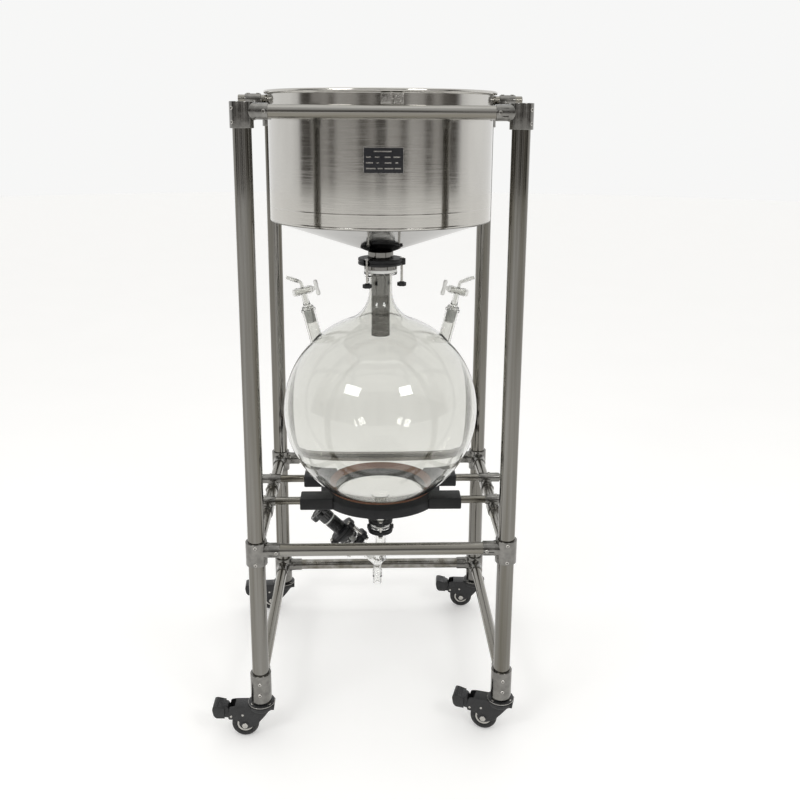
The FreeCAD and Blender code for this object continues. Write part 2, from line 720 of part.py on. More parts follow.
def drain_clamp_rings():
    """Small clamp rings above and below the drain joint."""
    solids = []
    above = DRAIN_Z + GLASS_FLANGE_THICK + FACE_GAP
    below = DRAIN_Z - DRAIN_GASKET - GLASS_FLANGE_THICK - FACE_GAP - SMALL_CLAMP_THICK
    for level, hole in ((above, DRAIN_R), (below, INLET_R)):
        ring = lobed_ring(hole + FACE_GAP, SMALL_CLAMP_R, SMALL_CLAMP_LOBE_PITCH,
                          SMALL_CLAMP_LOBE_R, SMALL_CLAMP_THICK, DRAIN_CLAMP_PHASE_DEG)
        solids.append(put(ring, (0, 0, level)))
    return solids


# ---- stopcocks -----------------------------------------------------------------------------------
def cock_lines(side):
    """Barrel centre, port direction and barrel direction (outwards) of a stopcock."""
    foot, axis = port_line(side)
    centre = along(foot, axis, PORT_LENGTH + COCK_RISE)
    return centre, axis, (axis[2] * side, 0.0, -axis[0] * side)


def hose_line(side):
    """Start, corner, end and direction of the bent hose tube of a stopcock."""
    centre, axis, _ = cock_lines(side)
    tilt = math.radians(HOSE_TILT_DEG)
    out = (side * math.cos(tilt), 0.0, math.sin(tilt))
    corner = along(centre, axis, HOSE_RISE)
    return along(centre, axis, PLUG_R), corner, along(corner, out, HOSE_OUT), out


def bent_rod(radius, start, corner, end, bend_r):
    """Rod along two lines joined by a tangent arc."""
    points = [FreeCAD.Vector(*p) for p in (start, corner, end)]
    first = (points[1] - points[0]).normalize()
    second = (points[2] - points[1]).normalize()
    half_turn = first.getAngle(second) / 2
    setback = bend_r * math.tan(half_turn)
    enter, leave = points[1] - first * setback, points[1] + second * setback
    inward = (second - first).normalize()
    middle = points[1] + inward * (bend_r / math.cos(half_turn) - bend_r)
    path = Part.Wire([
        Part.makeLine(points[0], enter),
        Part.Arc(enter, middle, leave).toShape(),
        Part.makeLine(leave, points[2]),
    ])
    profile = Part.Wire([Part.makeCircle(radius, points[0], first)])
    return path.makePipeShell([profile], True, False)


def port_adapter(side):
    """Glass stopcock: ground joint, barrel and bent hose tube."""
    foot, axis = port_line(side)
    centre, _, across = cock_lines(side)
    rim = along(foot, axis, PORT_LENGTH)
    joint_r = PORT_BORE_R - TUBE_FIT
    start, corner, end, out = hose_line(side)
    ridges = [
        turned([(0, 0), (HOSE_TUBE_R, 0), (HOSE_RIDGE_R, 1), (HOSE_TUBE_R, 4), (0, 4)],
               along(end, out, -distance), out)
        for distance in (14, 19, 24)
    ]
    bodies = [
        rod(joint_r, JOINT_DEPTH + 1, along(rim, axis, -JOINT_DEPTH), axis),
        bar(PORT_R - 1.5, 6, along(rim, axis, FACE_GAP), axis, 1.5),
        turned([(0, 0), (12, 0), ((8.6, 8), (7.5, 18)), (7.5, COCK_RISE - 6.5), (0, COCK_RISE - 6.5)],
               along(rim, axis, 6), axis),
        bar(BARREL_R, 2 * BARREL_HALF, along(centre, across, -BARREL_HALF), across, 1.0),
        bent_rod(HOSE_TUBE_R, start, corner, end, HOSE_BEND_R),
    ] + ridges
    cuts = [
        rod(4, JOINT_DEPTH + COCK_RISE + 2, along(rim, axis, -JOINT_DEPTH - 1), axis),
        rod(PLUG_R + RUNNING, 2 * BARREL_HALF + 2, along(centre, across, -BARREL_HALF - 1), across),
        bent_rod(2.2, start, corner, along(end, out, 1), HOSE_BEND_R),
    ]
    return joined(bodies).cut(cuts)


def stopcock_plug(side):
    """Plug with its T handle on the inner side and its retaining cap on the outer side."""
    centre, axis, across = cock_lines(side)
    inner = tuple(-a for a in across)
    start = BARREL_HALF + FACE_GAP
    handle_at = along(along(centre, inner, HANDLE_OUT), axis, -HANDLE_HALF)
    bodies = [
        rod(PLUG_R, 2 * start + 2, along(centre, across, -start - 1), across),
        turned([(0, 0), (8.5, 0), (8.5, 3), (5, 6), (4.2, HANDLE_OUT - start), (0, HANDLE_OUT - start)],
               along(centre, inner, start), inner),
        turned([(0, 0), (2.5, 0), ((4.8, 2), (5.2, 8)), ((4.2, HANDLE_HALF), (5.2, 2 * HANDLE_HALF - 8)),
                ((4.8, 2 * HANDLE_HALF - 2), (2.5, 2 * HANDLE_HALF)), (0, 2 * HANDLE_HALF)],
               handle_at, axis),
        turned([(0, 0), (8.5, 0), (8.5, 5), (6, 8), (0, 8)], along(centre, across, start), across),
    ]
    hole = rod(2.2, 2 * PLUG_R + 2, along(centre, axis, -PLUG_R - 1), axis)
    return joined(bodies).cut(hole)


# ---- drain valve ---------------------------------------------------------------------------------
def valve_body():
    """Glass body: flanged inlet, slanted barrel with its flange, elbow and ribbed hose tail."""
    inlet_top = DRAIN_Z - DRAIN_GASKET
    ridges = [
        turned([(0, 0), (TAIL_SHANK_R, 0), (TAIL_RIDGE_R, 1.5), (TAIL_RIDGE_R, 3), (TAIL_SHANK_R, 6), (0, 6)],
               along(ELBOW, DOWN, TAIL_DROP - distance), UP)
        for distance in (17, 25, 33)
    ]
    bodies = [
        rod(INLET_R, inlet_top - ELBOW[2], (0, 0, ELBOW[2])),
        rod(DRAIN_FLANGE_R, GLASS_FLANGE_THICK, (0, 0, inlet_top - GLASS_FLANGE_THICK)),
        rod(VALVE_R, VALVE_LENGTH + 1, ELBOW, VALVE_AXIS),
        turned([(0, -8), (VALVE_R, -8), (VALVE_FLANGE_R, 0), (VALVE_FLANGE_R, VALVE_FLANGE_THICK),
                (0, VALVE_FLANGE_THICK)], along(ELBOW, VALVE_AXIS, VALVE_LENGTH), VALVE_AXIS),
        Part.makeSphere(VALVE_R, FreeCAD.Vector(*ELBOW)),
        rod(TAIL_SHANK_R, TAIL_DROP - 2, along(ELBOW, DOWN, TAIL_DROP - 2)),
        rod(TAIL_R, TAIL_TIP, along(ELBOW, DOWN, TAIL_DROP)),
    ] + ridges
    cuts = [
        rod(INLET_BORE_R, inlet_top - ELBOW[2] + 1, (0, 0, ELBOW[2])),
        rod(VALVE_BORE_R, VALVE_LENGTH + VALVE_FLANGE_THICK + 1, ELBOW, VALVE_AXIS),
        Part.makeSphere(VALVE_BORE_R, FreeCAD.Vector(*ELBOW)),
        rod(TAIL_BORE_R, TAIL_DROP + 1, along(ELBOW, DOWN, TAIL_DROP + 1)),
    ]
    return joined(bodies).cut(cuts)


def valve_bonnet():
    """Black threaded body that closes the barrel and guides the spindle."""
    bore = SPINDLE_R + RUNNING
    end = BONNET_LENGTH
    return turned([
        (bore, 0), (VALVE_FLANGE_R - 2, 0), (VALVE_FLANGE_R - 2, 9), (BONNET_R, 10), (BONNET_R, end),
        (THREAD_R, end), (THREAD_R, end + THREAD_LENGTH), (bore, end + THREAD_LENGTH),
    ], along(ELBOW, VALVE_AXIS, BONNET_START), VALVE_AXIS)


def valve_collar():
    """White ring on the bonnet below the handwheel."""
    return tube(BONNET_R - 1, BONNET_R - 1 - THREAD_R - FACE_GAP, COLLAR_THICK,
                along(ELBOW, VALVE_AXIS, BONNET_END + 0.2), VALVE_AXIS)


def valve_stem():
    """White piston on its spindle."""
    spindle_end = WHEEL_START + HANDWHEEL_THICK - 4 - PISTON_START
    return turned([
        (0, 0), (VALVE_BORE_R - 4, 0), (VALVE_BORE_R - RUNNING, 4),
        (VALVE_BORE_R - RUNNING, PISTON_LENGTH), (SPINDLE_R, PISTON_LENGTH),
        (SPINDLE_R, spindle_end), (0, spindle_end),
    ], along(ELBOW, VALVE_AXIS, PISTON_START), VALVE_AXIS)


def valve_handwheel():
    """Handwheel with a ribbed hub, hollow over the bonnet's thread."""
    hub = turned([
        (0, 0), (WHEEL_HUB_R, 0), (WHEEL_HUB_R, WHEEL_HUB_LENGTH), (HANDWHEEL_R - 3, WHEEL_HUB_LENGTH),
        (HANDWHEEL_R, WHEEL_HUB_LENGTH + 3), (HANDWHEEL_R, WHEEL_HUB_LENGTH + HANDWHEEL_THICK - 3),
        (HANDWHEEL_R - 3, WHEEL_HUB_LENGTH + HANDWHEEL_THICK),
        (0, WHEEL_HUB_LENGTH + HANDWHEEL_THICK),
    ])
    cuts = [
        rod(THREAD_R + 0.7, THREAD_LENGTH - 2, (0, 0, -1)),
        rod(SPINDLE_R + RUNNING, WHEEL_HUB_LENGTH + HANDWHEEL_THICK - 3 + 1, (0, 0, -1)),
    ]
    for k in range(8):
        turn = 2 * math.pi * (k + 0.5) / 8
        reach = HANDWHEEL_R + 4.5
        cuts.append(rod(7, HANDWHEEL_THICK + 2, (reach * math.cos(turn), reach * math.sin(turn),
                                                 WHEEL_HUB_LENGTH - 0.5)))
    for k in range(16):
        turn = 2 * math.pi * k / 16
        reach = WHEEL_HUB_R + 0.6
        cuts.append(rod(1.4, WHEEL_HUB_LENGTH - 3, (reach * math.cos(turn), reach * math.sin(turn), 0)))
    return put(hub.cut(cuts), along(ELBOW, VALVE_AXIS, HUB_START), VALVE_AXIS)


def valve_clamp_levels():
    """Starts along the valve axis of the ring behind the glass flange and the one on the bonnet."""
    return VALVE_LENGTH - 8 - FACE_GAP - VALVE_CLAMP_THICK, BONNET_START + 10 + FACE_GAP


def valve_clamp_rings():
    """Rings that draw the bonnet onto the glass flange."""
    solids = []
    for level, hole in zip(valve_clamp_levels(), (VALVE_R, BONNET_R)):
        ring = lobed_ring(hole + FACE_GAP, VALVE_CLAMP_R, VALVE_CLAMP_LOBE_PITCH,
                          VALVE_CLAMP_LOBE_R, VALVE_CLAMP_THICK, VALVE_CLAMP_PHASE_DEG)
        solids.append(put(ring, along(ELBOW, VALVE_AXIS, level), VALVE_AXIS))
    return solids


def clamp_screw(length):
    """Screw with a round head at its far end and a nut at its near one, built along +Z."""
    return turned([
        (0, -5), (5, -5), (5, -0.3), (CLAMP_SCREW_R, -0.3), (CLAMP_SCREW_R, length + 0.3),
        (5.2, length + 0.3), (5.2, length + 3), (4, length + 4.5), (0, length + 4.5),
    ])


def drain_clamp_screws():
    """Screws of the drain clamp and of the valve clamp."""
    solids = []
    below = DRAIN_Z - DRAIN_GASKET - GLASS_FLANGE_THICK - FACE_GAP - SMALL_CLAMP_THICK
    above = DRAIN_Z + GLASS_FLANGE_THICK + FACE_GAP + SMALL_CLAMP_THICK
    for x, y in lobes(SMALL_CLAMP_LOBE_PITCH, DRAIN_CLAMP_PHASE_DEG):
        solids.append(put(clamp_screw(above - below), (x, y, below)))
    near, far = valve_clamp_levels()
    start = along(ELBOW, VALVE_AXIS, near)
    turn = FreeCAD.Rotation(FreeCAD.Vector(*UP), FreeCAD.Vector(*VALVE_AXIS))
    for x, y in lobes(VALVE_CLAMP_LOBE_PITCH, VALVE_CLAMP_PHASE_DEG):
        across = turn.multVec(FreeCAD.Vector(x, y, 0))
        place = (start[0] + across.x, start[1] + across.y, start[2] + across.z)
        solids.append(put(clamp_screw(far + VALVE_CLAMP_THICK - near), place, VALVE_AXIS))
    return solids


# ---- castors, built with the swivel on the Z axis and the wheel towards +X ---------------------------
def place_castor(shape, name):
    """Carries a castor piece below its leg and turns it to its resting angle."""
    corner = CORNERS[name]
    return moved(shape, FreeCAD.Placement(
        FreeCAD.Vector(corner[0] * HALF, corner[1] * HALF, 0),
        FreeCAD.Rotation(FreeCAD.Vector(*UP), CASTOR_ANGLES_DEG[name]),
    ))


def castor_mount(corner):
    """Stem in the leg, swivel disc and kingpin of a castor."""
    return turned([
        (0, CROWN_TOP - CROWN_THICK), (KINGPIN_R, CROWN_TOP - CROWN_THICK),
        (KINGPIN_R, CROWN_TOP + FACE_GAP), (SWIVEL_DISC_R - 2, CROWN_TOP + FACE_GAP),
        (SWIVEL_DISC_R, CROWN_TOP + FACE_GAP + 2),
        (SWIVEL_DISC_R - 3, CROWN_TOP + FACE_GAP + SWIVEL_DISC_THICK),
        (SLEEVE_OD / 2 - 6, CASTOR_HEIGHT - FACE_GAP),
        (LEG_OD / 2 - TUBE_WALL - FACE_GAP, CASTOR_HEIGHT - FACE_GAP),
        (LEG_OD / 2 - TUBE_WALL - FACE_GAP, CASTOR_HEIGHT + 30), (0, CASTOR_HEIGHT + 30),
    ], (corner[0] * HALF, corner[1] * HALF, 0))


def castor_fork():
    """Covered fork with its axle and the pin of the brake pedal."""
    inner = WHEEL_WIDTH / 2 + FORK_GAP
    outer = inner + FORK_PLATE
    low = CROWN_TOP - CROWN_THICK
    side = [(-30, CROWN_TOP), (-30, low + 2), (10, 28), (TRAIL, 20), (52, 30), (62, 45), (76, 47),
            (77, 60), (73, CROWN_TOP - 1), (60, CROWN_TOP)]
    crown = [(-30, CROWN_TOP), (-30, low), (60, low), (60, CROWN_TOP)]
    bodies = [slab(crown, -inner - 1, inner + 1)]
    for start, end in ((-outer, -inner), (inner, outer)):
        bodies.append(slab(side, start, end))
    along_y = (0.0, 1.0, 0.0)
    bodies.append(rod(AXLE_R, 2 * outer, (TRAIL, -outer, WHEEL_R), along_y))
    for y in (-outer - 3, outer):
        bodies.append(rod(7, 3, (TRAIL, y, WHEEL_R), along_y))
    pin_x, pin_z = PEDAL_PIN
    bodies.append(rod(PEDAL_PIN_R, 2 * outer + 2, (pin_x, -outer - 1, pin_z), along_y))
    hole = rod(KINGPIN_R + RUNNING, CROWN_THICK + 2, (0, 0, low - 1))
    return joined(bodies).cut(hole)


def castor_wheel():
    """Wheel with a rounded tread and a recessed hub."""
    half = WHEEL_WIDTH / 2
    bore = AXLE_R + RUNNING
    edge = WHEEL_R - TREAD_ROUND * (1 - math.sqrt(0.5)), half - TREAD_ROUND * (1 - math.sqrt(0.5))
    return turned([
        (bore, -half), (11, -half), (14, -half + 3), (19, -half + 3), (22, -half),
        (WHEEL_R - TREAD_ROUND, -half), ((edge[0], -edge[1]), (WHEEL_R, -half + TREAD_ROUND)),
        (WHEEL_R, half - TREAD_ROUND), (edge, (WHEEL_R - TREAD_ROUND, half)),
        (22, half), (19, half - 3), (14, half - 3), (11, half), (bore, half),
    ], (TRAIL, 0, WHEEL_R), (0.0, 1.0, 0.0))


def brake_pedal():
    """Pedal that locks the wheel and the swivel when its tip is pressed down."""
    pin_x, pin_z = PEDAL_PIN
    inner = WHEEL_WIDTH / 2 + FORK_GAP - 1
    along_y = (0.0, 1.0, 0.0)
    arm = slab([(pin_x - 3, pin_z + 2), (pin_x + 2, pin_z - 5), (90, 52), (90, 80), (80, 79)],
               -inner, inner)
    pad = slab([(86, 80), (104, 84), (110, 83), (113, 74), (110, 58), (104, 52), (92, 52), (86, 60)],
               -PEDAL_HALF_WIDTH, PEDAL_HALF_WIDTH)
    eye = rod(6, 2 * inner, (pin_x, -inner, pin_z), along_y)
    pin_hole = rod(PEDAL_PIN_R + RUNNING, 2 * inner + 2, (pin_x, -inner - 1, pin_z), along_y)
    return joined([arm, pad, eye]).cut(pin_hole)


# ---- nodes --------------------------------------------------------------------------------------
def build():
    """Every node with its solids."""
    nodes = {}
    for name, corner in CORNERS.items():
        nodes["leg_" + name] = [leg(corner)]
    for side in ("front", "rear", "left", "right"):
        nodes["top_rail_" + side] = [rail(TOP_RAIL_Z, side)]
        nodes["mid_rail_" + side] = [rail(MID_RAIL_Z, side)]
    nodes["low_rails"] = [rail(LOW_RAIL_Z, side) for side in ("rear", "left", "right")]
    nodes["top_corners"] = top_corners()
    nodes["mid_tees"] = mid_tees()
    nodes["base_sleeves"] = base_sleeves()
    nodes["funnel_clamps"] = [
        cross_clamp(side, 0, TOP_RAIL_Z, TRUNNION_Z, TRUNNION_CLAMP_OFFSET, TRUNNION_CLAMP_LENGTH,
                    (-11, 11))
        for side in (-1, 1)
    ]
    nodes["ring_clamps"] = [
        cross_clamp(side, y, MID_RAIL_Z, BAR_Z, RING_CLAMP_OFFSET, RING_CLAMP_LENGTH, (0,))
        for side in (-1, 1) for y in (-ARM_Y, ARM_Y)
    ]
    nodes["set_screws"] = set_screws

    nodes["funnel_wall"] = [funnel_wall()]
    nodes["funnel_cone"] = [funnel_cone()]
    nodes["funnel_trunnions"] = [trunnion(side) for side in (-1, 1)]
    nodes["name_plate"] = [name_plate()]
    nodes["rim_clasp"] = [rim_clasp()]
    nodes["filter_plate"] = [filter_plate()]
    nodes["lift_handle"] = [lift_handle()]
    nodes["filter_seal"] = [filter_seal()]
    nodes["drip_tube"] = [drip_tube()]

    nodes["receiving_flask"] = [receiving_flask()]
    nodes["seat_liner"] = [seat_liner()]
    nodes["support_ring"] = [support_ring()]
    nodes["ring_bars"] = ring_bars()
    nodes["neck_clamp_rings"] = neck_clamp_rings()
    nodes["neck_clamp_knobs"] = neck_clamp_knobs()
    nodes["flange_gaskets"] = flange_gaskets()
    for name, side in (("left", -1), ("right", 1)):
        nodes["port_adapter_" + name] = [port_adapter(side)]
        nodes["stopcock_plug_" + name] = [stopcock_plug(side)]

    nodes["drain_clamp_rings"] = drain_clamp_rings()
    nodes["drain_clamp_screws"] = drain_clamp_screws()
    nodes["valve_body"] = [valve_body()]
    nodes["valve_clamp_rings"] = valve_clamp_rings()
    nodes["valve_bonnet"] = [valve_bonnet()]
    nodes["valve_collar"] = [valve_collar()]
    nodes["valve_stem"] = [valve_stem()]
    nodes["valve_handwheel"] = [valve_handwheel()]

    nodes["castor_mounts"] = [castor_mount(corner) for corner in CORNERS.values()]
    for name in CORNERS:
        nodes["castor_fork_" + name] = [place_castor(castor_fork(), name)]
        nodes["castor_wheel_" + name] = [place_castor(castor_wheel(), name)]
        nodes["brake_pedal_" + name] = [place_castor(brake_pedal(), name)]
    return nodes


os.makedirs("parts", exist_ok=True)
for node, solids in build().items():
    write(node, solids)
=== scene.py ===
import json
import math

import bmesh
import bpy
from bpy.props import FloatProperty, FloatVectorProperty, IntProperty, PointerProperty
from mathutils import Matrix, Vector


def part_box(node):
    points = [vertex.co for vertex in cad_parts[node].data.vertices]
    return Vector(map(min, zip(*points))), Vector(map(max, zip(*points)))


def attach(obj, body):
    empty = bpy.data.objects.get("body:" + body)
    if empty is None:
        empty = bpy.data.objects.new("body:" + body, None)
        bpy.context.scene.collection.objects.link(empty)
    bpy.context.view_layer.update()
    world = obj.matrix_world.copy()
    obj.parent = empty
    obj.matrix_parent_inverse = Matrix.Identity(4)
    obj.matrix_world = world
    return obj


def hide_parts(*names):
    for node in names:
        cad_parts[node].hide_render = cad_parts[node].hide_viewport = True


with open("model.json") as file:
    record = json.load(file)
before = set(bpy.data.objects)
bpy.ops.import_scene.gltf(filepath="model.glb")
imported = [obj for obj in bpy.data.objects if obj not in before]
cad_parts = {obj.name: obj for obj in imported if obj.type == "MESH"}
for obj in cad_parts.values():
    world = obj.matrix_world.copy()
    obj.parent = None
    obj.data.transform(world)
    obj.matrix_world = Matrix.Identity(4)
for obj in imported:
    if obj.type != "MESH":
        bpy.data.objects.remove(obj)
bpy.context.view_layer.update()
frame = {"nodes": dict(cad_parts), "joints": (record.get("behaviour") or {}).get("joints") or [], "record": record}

bl_info = {
    "name": "Vacuum filter with glass receiving flask",
    "version": (1, 0, 0),
    "blender": (4, 5, 0),
    "location": "View3D > Sidebar > Vacuum filter",
    "description": "Builds the pieces of a large vacuum filter on its CAD frame, with their finishes and a studio",
    "category": "Object",
}

MM = 0.001
UP = Vector((0, 0, 1))
FINISHES = {}
CORNERS = {"front_left": (-1, -1), "front_right": (1, -1), "rear_left": (-1, 1), "rear_right": (1, 1)}


# ---- places, in millimetres, read from the frame ------------------------------------------------
def low(node, axis):
    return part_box(node)[0][axis] / MM


def high(node, axis):
    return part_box(node)[1][axis] / MM


def middle(node, axis):
    return (low(node, axis) + high(node, axis)) / 2


HALF = middle("leg_front_right", 0)
TOP_RAIL_Z = middle("top_rail_front", 2)
MID_RAIL_Z = middle("mid_rail_front", 2)
LOW_RAIL_Z = middle("low_rails", 2)
FUNNEL_R = high("funnel_cone", 0)
FUNNEL_Z = high("funnel_cone", 2)
RIM_R, RIM_TOP = high("funnel_wall", 0), high("funnel_wall", 2)
FUNNEL_TOP = RIM_TOP - 8
FLASK_R = high("receiving_flask", 0)
DRAIN_Z, NECK_TOP = low("receiving_flask", 2), high("receiving_flask", 2)
FLASK_Z = DRAIN_Z + 74 + FLASK_R
STEEL_FLANGE_Z = low("funnel_cone", 2)
OUTLET_TOP = FUNNEL_Z - 77.5
TRUNNION_Z = TOP_RAIL_Z + 29.5
BAR_Z = middle("ring_bars", 2)
RING_Z = low("support_ring", 2)
LEDGE_Z = low("filter_seal", 2)
JOINTS = {joint["name"]: joint for joint in frame["joints"]}
VALVE_AXIS = Vector(JOINTS["valve_handwheel_turn"]["axis"])
ELBOW = Vector(JOINTS["valve_handwheel_turn"]["pos_m"]) / MM


# ---- modelling helpers --------------------------------------------------------------------------
def only(piece):
    """Selects one object and makes it active."""
    bpy.ops.object.select_all(action="DESELECT")
    piece.select_set(True)
    bpy.context.view_layer.objects.active = piece


def pick(piece, kind, test):
    """In edit mode, selects the vertices, edges or faces whose centre, in millimetres, passes a test."""
    bpy.ops.mesh.select_mode(type=kind)
    bpy.ops.mesh.select_all(action="DESELECT")
    mesh = bmesh.from_edit_mesh(piece.data)
    items = {"VERT": mesh.verts, "EDGE": mesh.edges, "FACE": mesh.faces}[kind]
    for item in items:
        points = [item.co] if kind == "VERT" else [v.co for v in item.verts]
        if test(sum(points, Vector()) / len(points) / MM):
            item.select_set(True)
    mesh.select_flush_mode()
    bmesh.update_edit_mesh(piece.data)


def placed(piece, origin=(0, 0, 0), axis=UP, turn=0.0):
    """Turns a piece about its own Z, then onto an axis, carries it to a point and applies that to its mesh."""
    lean = UP.rotation_difference(Vector(axis)).to_matrix().to_4x4()
    piece.matrix_world = Matrix.Translation(Vector(origin) * MM) @ lean @ Matrix.Rotation(turn, 4, "Z")
    only(piece)
    bpy.ops.object.transform_apply(location=True, rotation=True, scale=True)
    return piece


def one_vertex(name, point):
    """New mesh object in edit mode, with a single selected vertex."""
    bpy.ops.object.select_all(action="DESELECT")
    bpy.ops.mesh.primitive_plane_add(size=0.001)
    piece = bpy.context.object
    piece.name = name
    bpy.ops.object.mode_set(mode="EDIT")
    bpy.ops.mesh.select_mode(type="VERT")
    bpy.ops.mesh.select_all(action="SELECT")
    bpy.ops.mesh.merge(type="CENTER")
    bpy.ops.transform.translate(value=Vector(point) * MM)
    return piece


def drawn(name, outline, closed=True):
    """Draws a (radius, height) outline on the XZ plane by extruding a vertex. A third number rounds
    that corner, and ("turn", radius, height, degrees, parts) swings the last point about a centre."""
    steps = list(outline) + (list(outline[:1]) if closed else [])
    here = Vector((steps[0][0], 0, steps[0][1]))
    piece = one_vertex(name, here)
    for number, step in enumerate(steps[1:], 2):
        if step[0] == "turn":
            centre, degrees, parts = Vector((step[1], 0, step[2])), step[3], step[4]
            bpy.ops.mesh.spin(steps=parts, angle=math.radians(abs(degrees)), center=centre * MM,
                              axis=(0, 1 if degrees > 0 else -1, 0))
            here = centre + Matrix.Rotation(math.radians(-degrees), 3, "Y") @ (here - centre)
            continue
        corner = Vector((step[0], 0, step[1]))
        path = [corner]
        if len(step) == 3:
            after = Vector((steps[number][0], 0, steps[number][1]))
            back, ahead = (here - corner).normalized() * step[2], (after - corner).normalized() * step[2]
            path = [corner + back * (1 - t) ** 2 + ahead * t ** 2 for t in (0, 0.25, 0.5, 0.75, 1)]
        for there in path:
            if (there - here).length > 1e-4:
                bpy.ops.mesh.extrude_region_move(TRANSFORM_OT_translate={"value": (there - here) * MM})
                here = there
    return piece


def closed_up(piece):
    """Merges doubles, points the faces outwards and leaves edit mode."""
    bpy.ops.mesh.select_mode(type="VERT")
    bpy.ops.mesh.select_all(action="SELECT")
    bpy.ops.mesh.remove_doubles(threshold=2e-6)
    bpy.ops.mesh.normals_make_consistent(inside=False)
    bpy.ops.object.mode_set(mode="OBJECT")
    return piece


def turned(name, outline, origin=(0, 0, 0), axis=UP, steps=64):
    """Round piece: an outline spun about its axis. One that starts and ends on the axis stays open there."""
    piece = drawn(name, outline, closed=not outline[0][0] == outline[-1][0] == 0)
    bpy.ops.mesh.select_all(action="SELECT")
    bpy.ops.mesh.spin(steps=steps, angle=2 * math.pi, center=(0, 0, 0), axis=(0, 0, 1))
    return placed(closed_up(piece), origin, axis)


def swept(name, outline, middle_deg, sweep_deg, steps):
    """Curved plate: a filled outline spun through part of a turn about the Z axis, middled on an angle
    that is counted from -Y towards +X."""
    piece = drawn(name, outline)
    bpy.ops.mesh.select_all(action="SELECT")
    bpy.ops.mesh.remove_doubles(threshold=2e-6)
    bpy.ops.mesh.edge_face_add()
    bpy.ops.mesh.spin(steps=steps, angle=math.radians(sweep_deg), center=(0, 0, 0), axis=(0, 0, 1))
    bpy.ops.mesh.select_all(action="SELECT")
    closed_up(piece)
    angles = [math.degrees(math.atan2(v.co.x, -v.co.y)) for v in piece.data.vertices]
    return placed(piece, turn=math.radians(middle_deg - (min(angles) + max(angles)) / 2))


def slab(name, points, start, end):
    """Plate with an outline in the XZ plane, extruded between two Y values."""
    piece = drawn(name, points)
    bpy.ops.mesh.select_all(action="SELECT")
    bpy.ops.mesh.remove_doubles(threshold=2e-6)
    bpy.ops.mesh.edge_face_add()
    bpy.ops.transform.translate(value=(0, start * MM, 0))
    bpy.ops.mesh.extrude_region_move(TRANSFORM_OT_translate={"value": (0, (end - start) * MM, 0)})
    return closed_up(piece)


def rod(name, radius, length, origin=(0, 0, 0), axis=UP, edge=0.6, steps=48):
    """Round bar with rounded ends."""
    outline = [(0, 0), (radius, 0, edge), (radius, length, edge), (0, length)]
    return turned(name, outline, origin, axis, steps)


def block(name, corner, opposite, edge=1.0, segments=3):
    """Box with every edge bevelled."""
    first, second = Vector(corner), Vector(opposite)
    bpy.ops.object.select_all(action="DESELECT")
    bpy.ops.mesh.primitive_cube_add(size=1, location=(first + second) / 2 * MM, scale=(second - first) * MM)
    piece = bpy.context.object
    piece.name = name
    bpy.ops.object.transform_apply(location=True, rotation=True, scale=True)
    if edge:
        bpy.ops.object.mode_set(mode="EDIT")
        bpy.ops.mesh.select_all(action="SELECT")
        bpy.ops.mesh.bevel(offset=edge * MM, segments=segments, affect="EDGES")
        bpy.ops.object.mode_set(mode="OBJECT")
    return piece


def fluted(name, radius, notch, count, length, edge=0.8, origin=(0, 0, 0), axis=UP):
    """Round grip with rounded hollows down its side."""
    bpy.ops.object.select_all(action="DESELECT")
    bpy.ops.mesh.primitive_cylinder_add(vertices=count * 8, radius=radius * MM, depth=length * MM,
                                        location=(0, 0, length / 2 * MM))
    piece = bpy.context.object
    piece.name = name
    bpy.ops.object.transform_apply(location=True)
    bpy.ops.object.mode_set(mode="EDIT")
    for reach, share in ((0.4, 1.0), (1.4, 0.6), (2.4, 0.2)):
        limits = (reach - 0.9, reach + 0.1)
        pick(piece, "VERT", lambda p: limits[0] < abs(
            (math.atan2(p.y, p.x) / (2 * math.pi) * count % 1 - 0.5) * 8) < limits[1])
        scale = 1 - notch * share / radius
        bpy.ops.transform.resize(value=(scale, scale, 1), center_override=(0, 0, 0))
    pick(piece, "FACE", lambda p: p.z < 0.01 or p.z > length - 0.01)
    bpy.ops.mesh.bevel(offset=edge * MM, segments=3, affect="EDGES")
    closed_up(piece)
    return placed(piece, origin, axis)


def carved(piece, tools, operation="DIFFERENCE"):
    """Cuts tools out of a piece, or joins them to it as one solid, and removes them."""
    for tool in tools:
        change = piece.modifiers.new("carve", "BOOLEAN")
        change.operation, change.solver, change.object = operation, "EXACT", tool
        only(piece)
        bpy.ops.object.modifier_apply(modifier=change.name)
        bpy.data.objects.remove(tool)
    return piece


def softened(piece, width, segments=2, angle=35):
    """Rounds the edges sharper than an angle."""
    change = piece.modifiers.new("soften", "BEVEL")
    change.width, change.segments, change.limit_method = width * MM, segments, "ANGLE"
    change.angle_limit, change.use_clamp_overlap = math.radians(angle), True
    only(piece)
    bpy.ops.object.modifier_apply(modifier=change.name)
    return piece


def copied(piece, name, place=Matrix.Identity(4)):
    """Copy of a piece with its own mesh, carried by a matrix."""
    only(piece)
    bpy.ops.object.duplicate(linked=False)
    copy = bpy.context.object
    copy.name = name
    copy.matrix_world = place
    bpy.ops.object.transform_apply(location=True, rotation=True, scale=True)
    return copy


def joined(name, pieces):
    """One object out of several."""
    bpy.ops.object.select_all(action="DESELECT")
    for piece in pieces:
        piece.select_set(True)
    bpy.context.view_layer.objects.active = pieces[0]
    if len(pieces) > 1:
        bpy.ops.object.join()
    pieces[0].name = name
    return pieces[0]


def done(piece, body, finish, slot, *nodes, angle=32):
    """Smooths a piece, gives it its finish and hands it to the body that it moves with."""
    only(piece)
    bpy.ops.object.shade_smooth_by_angle(angle=math.radians(angle))
    piece.data.materials.clear()
    piece.data.materials.append(FINISHES[finish]())
    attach(piece, body)
    if nodes:
        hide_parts(*nodes)
    return piece


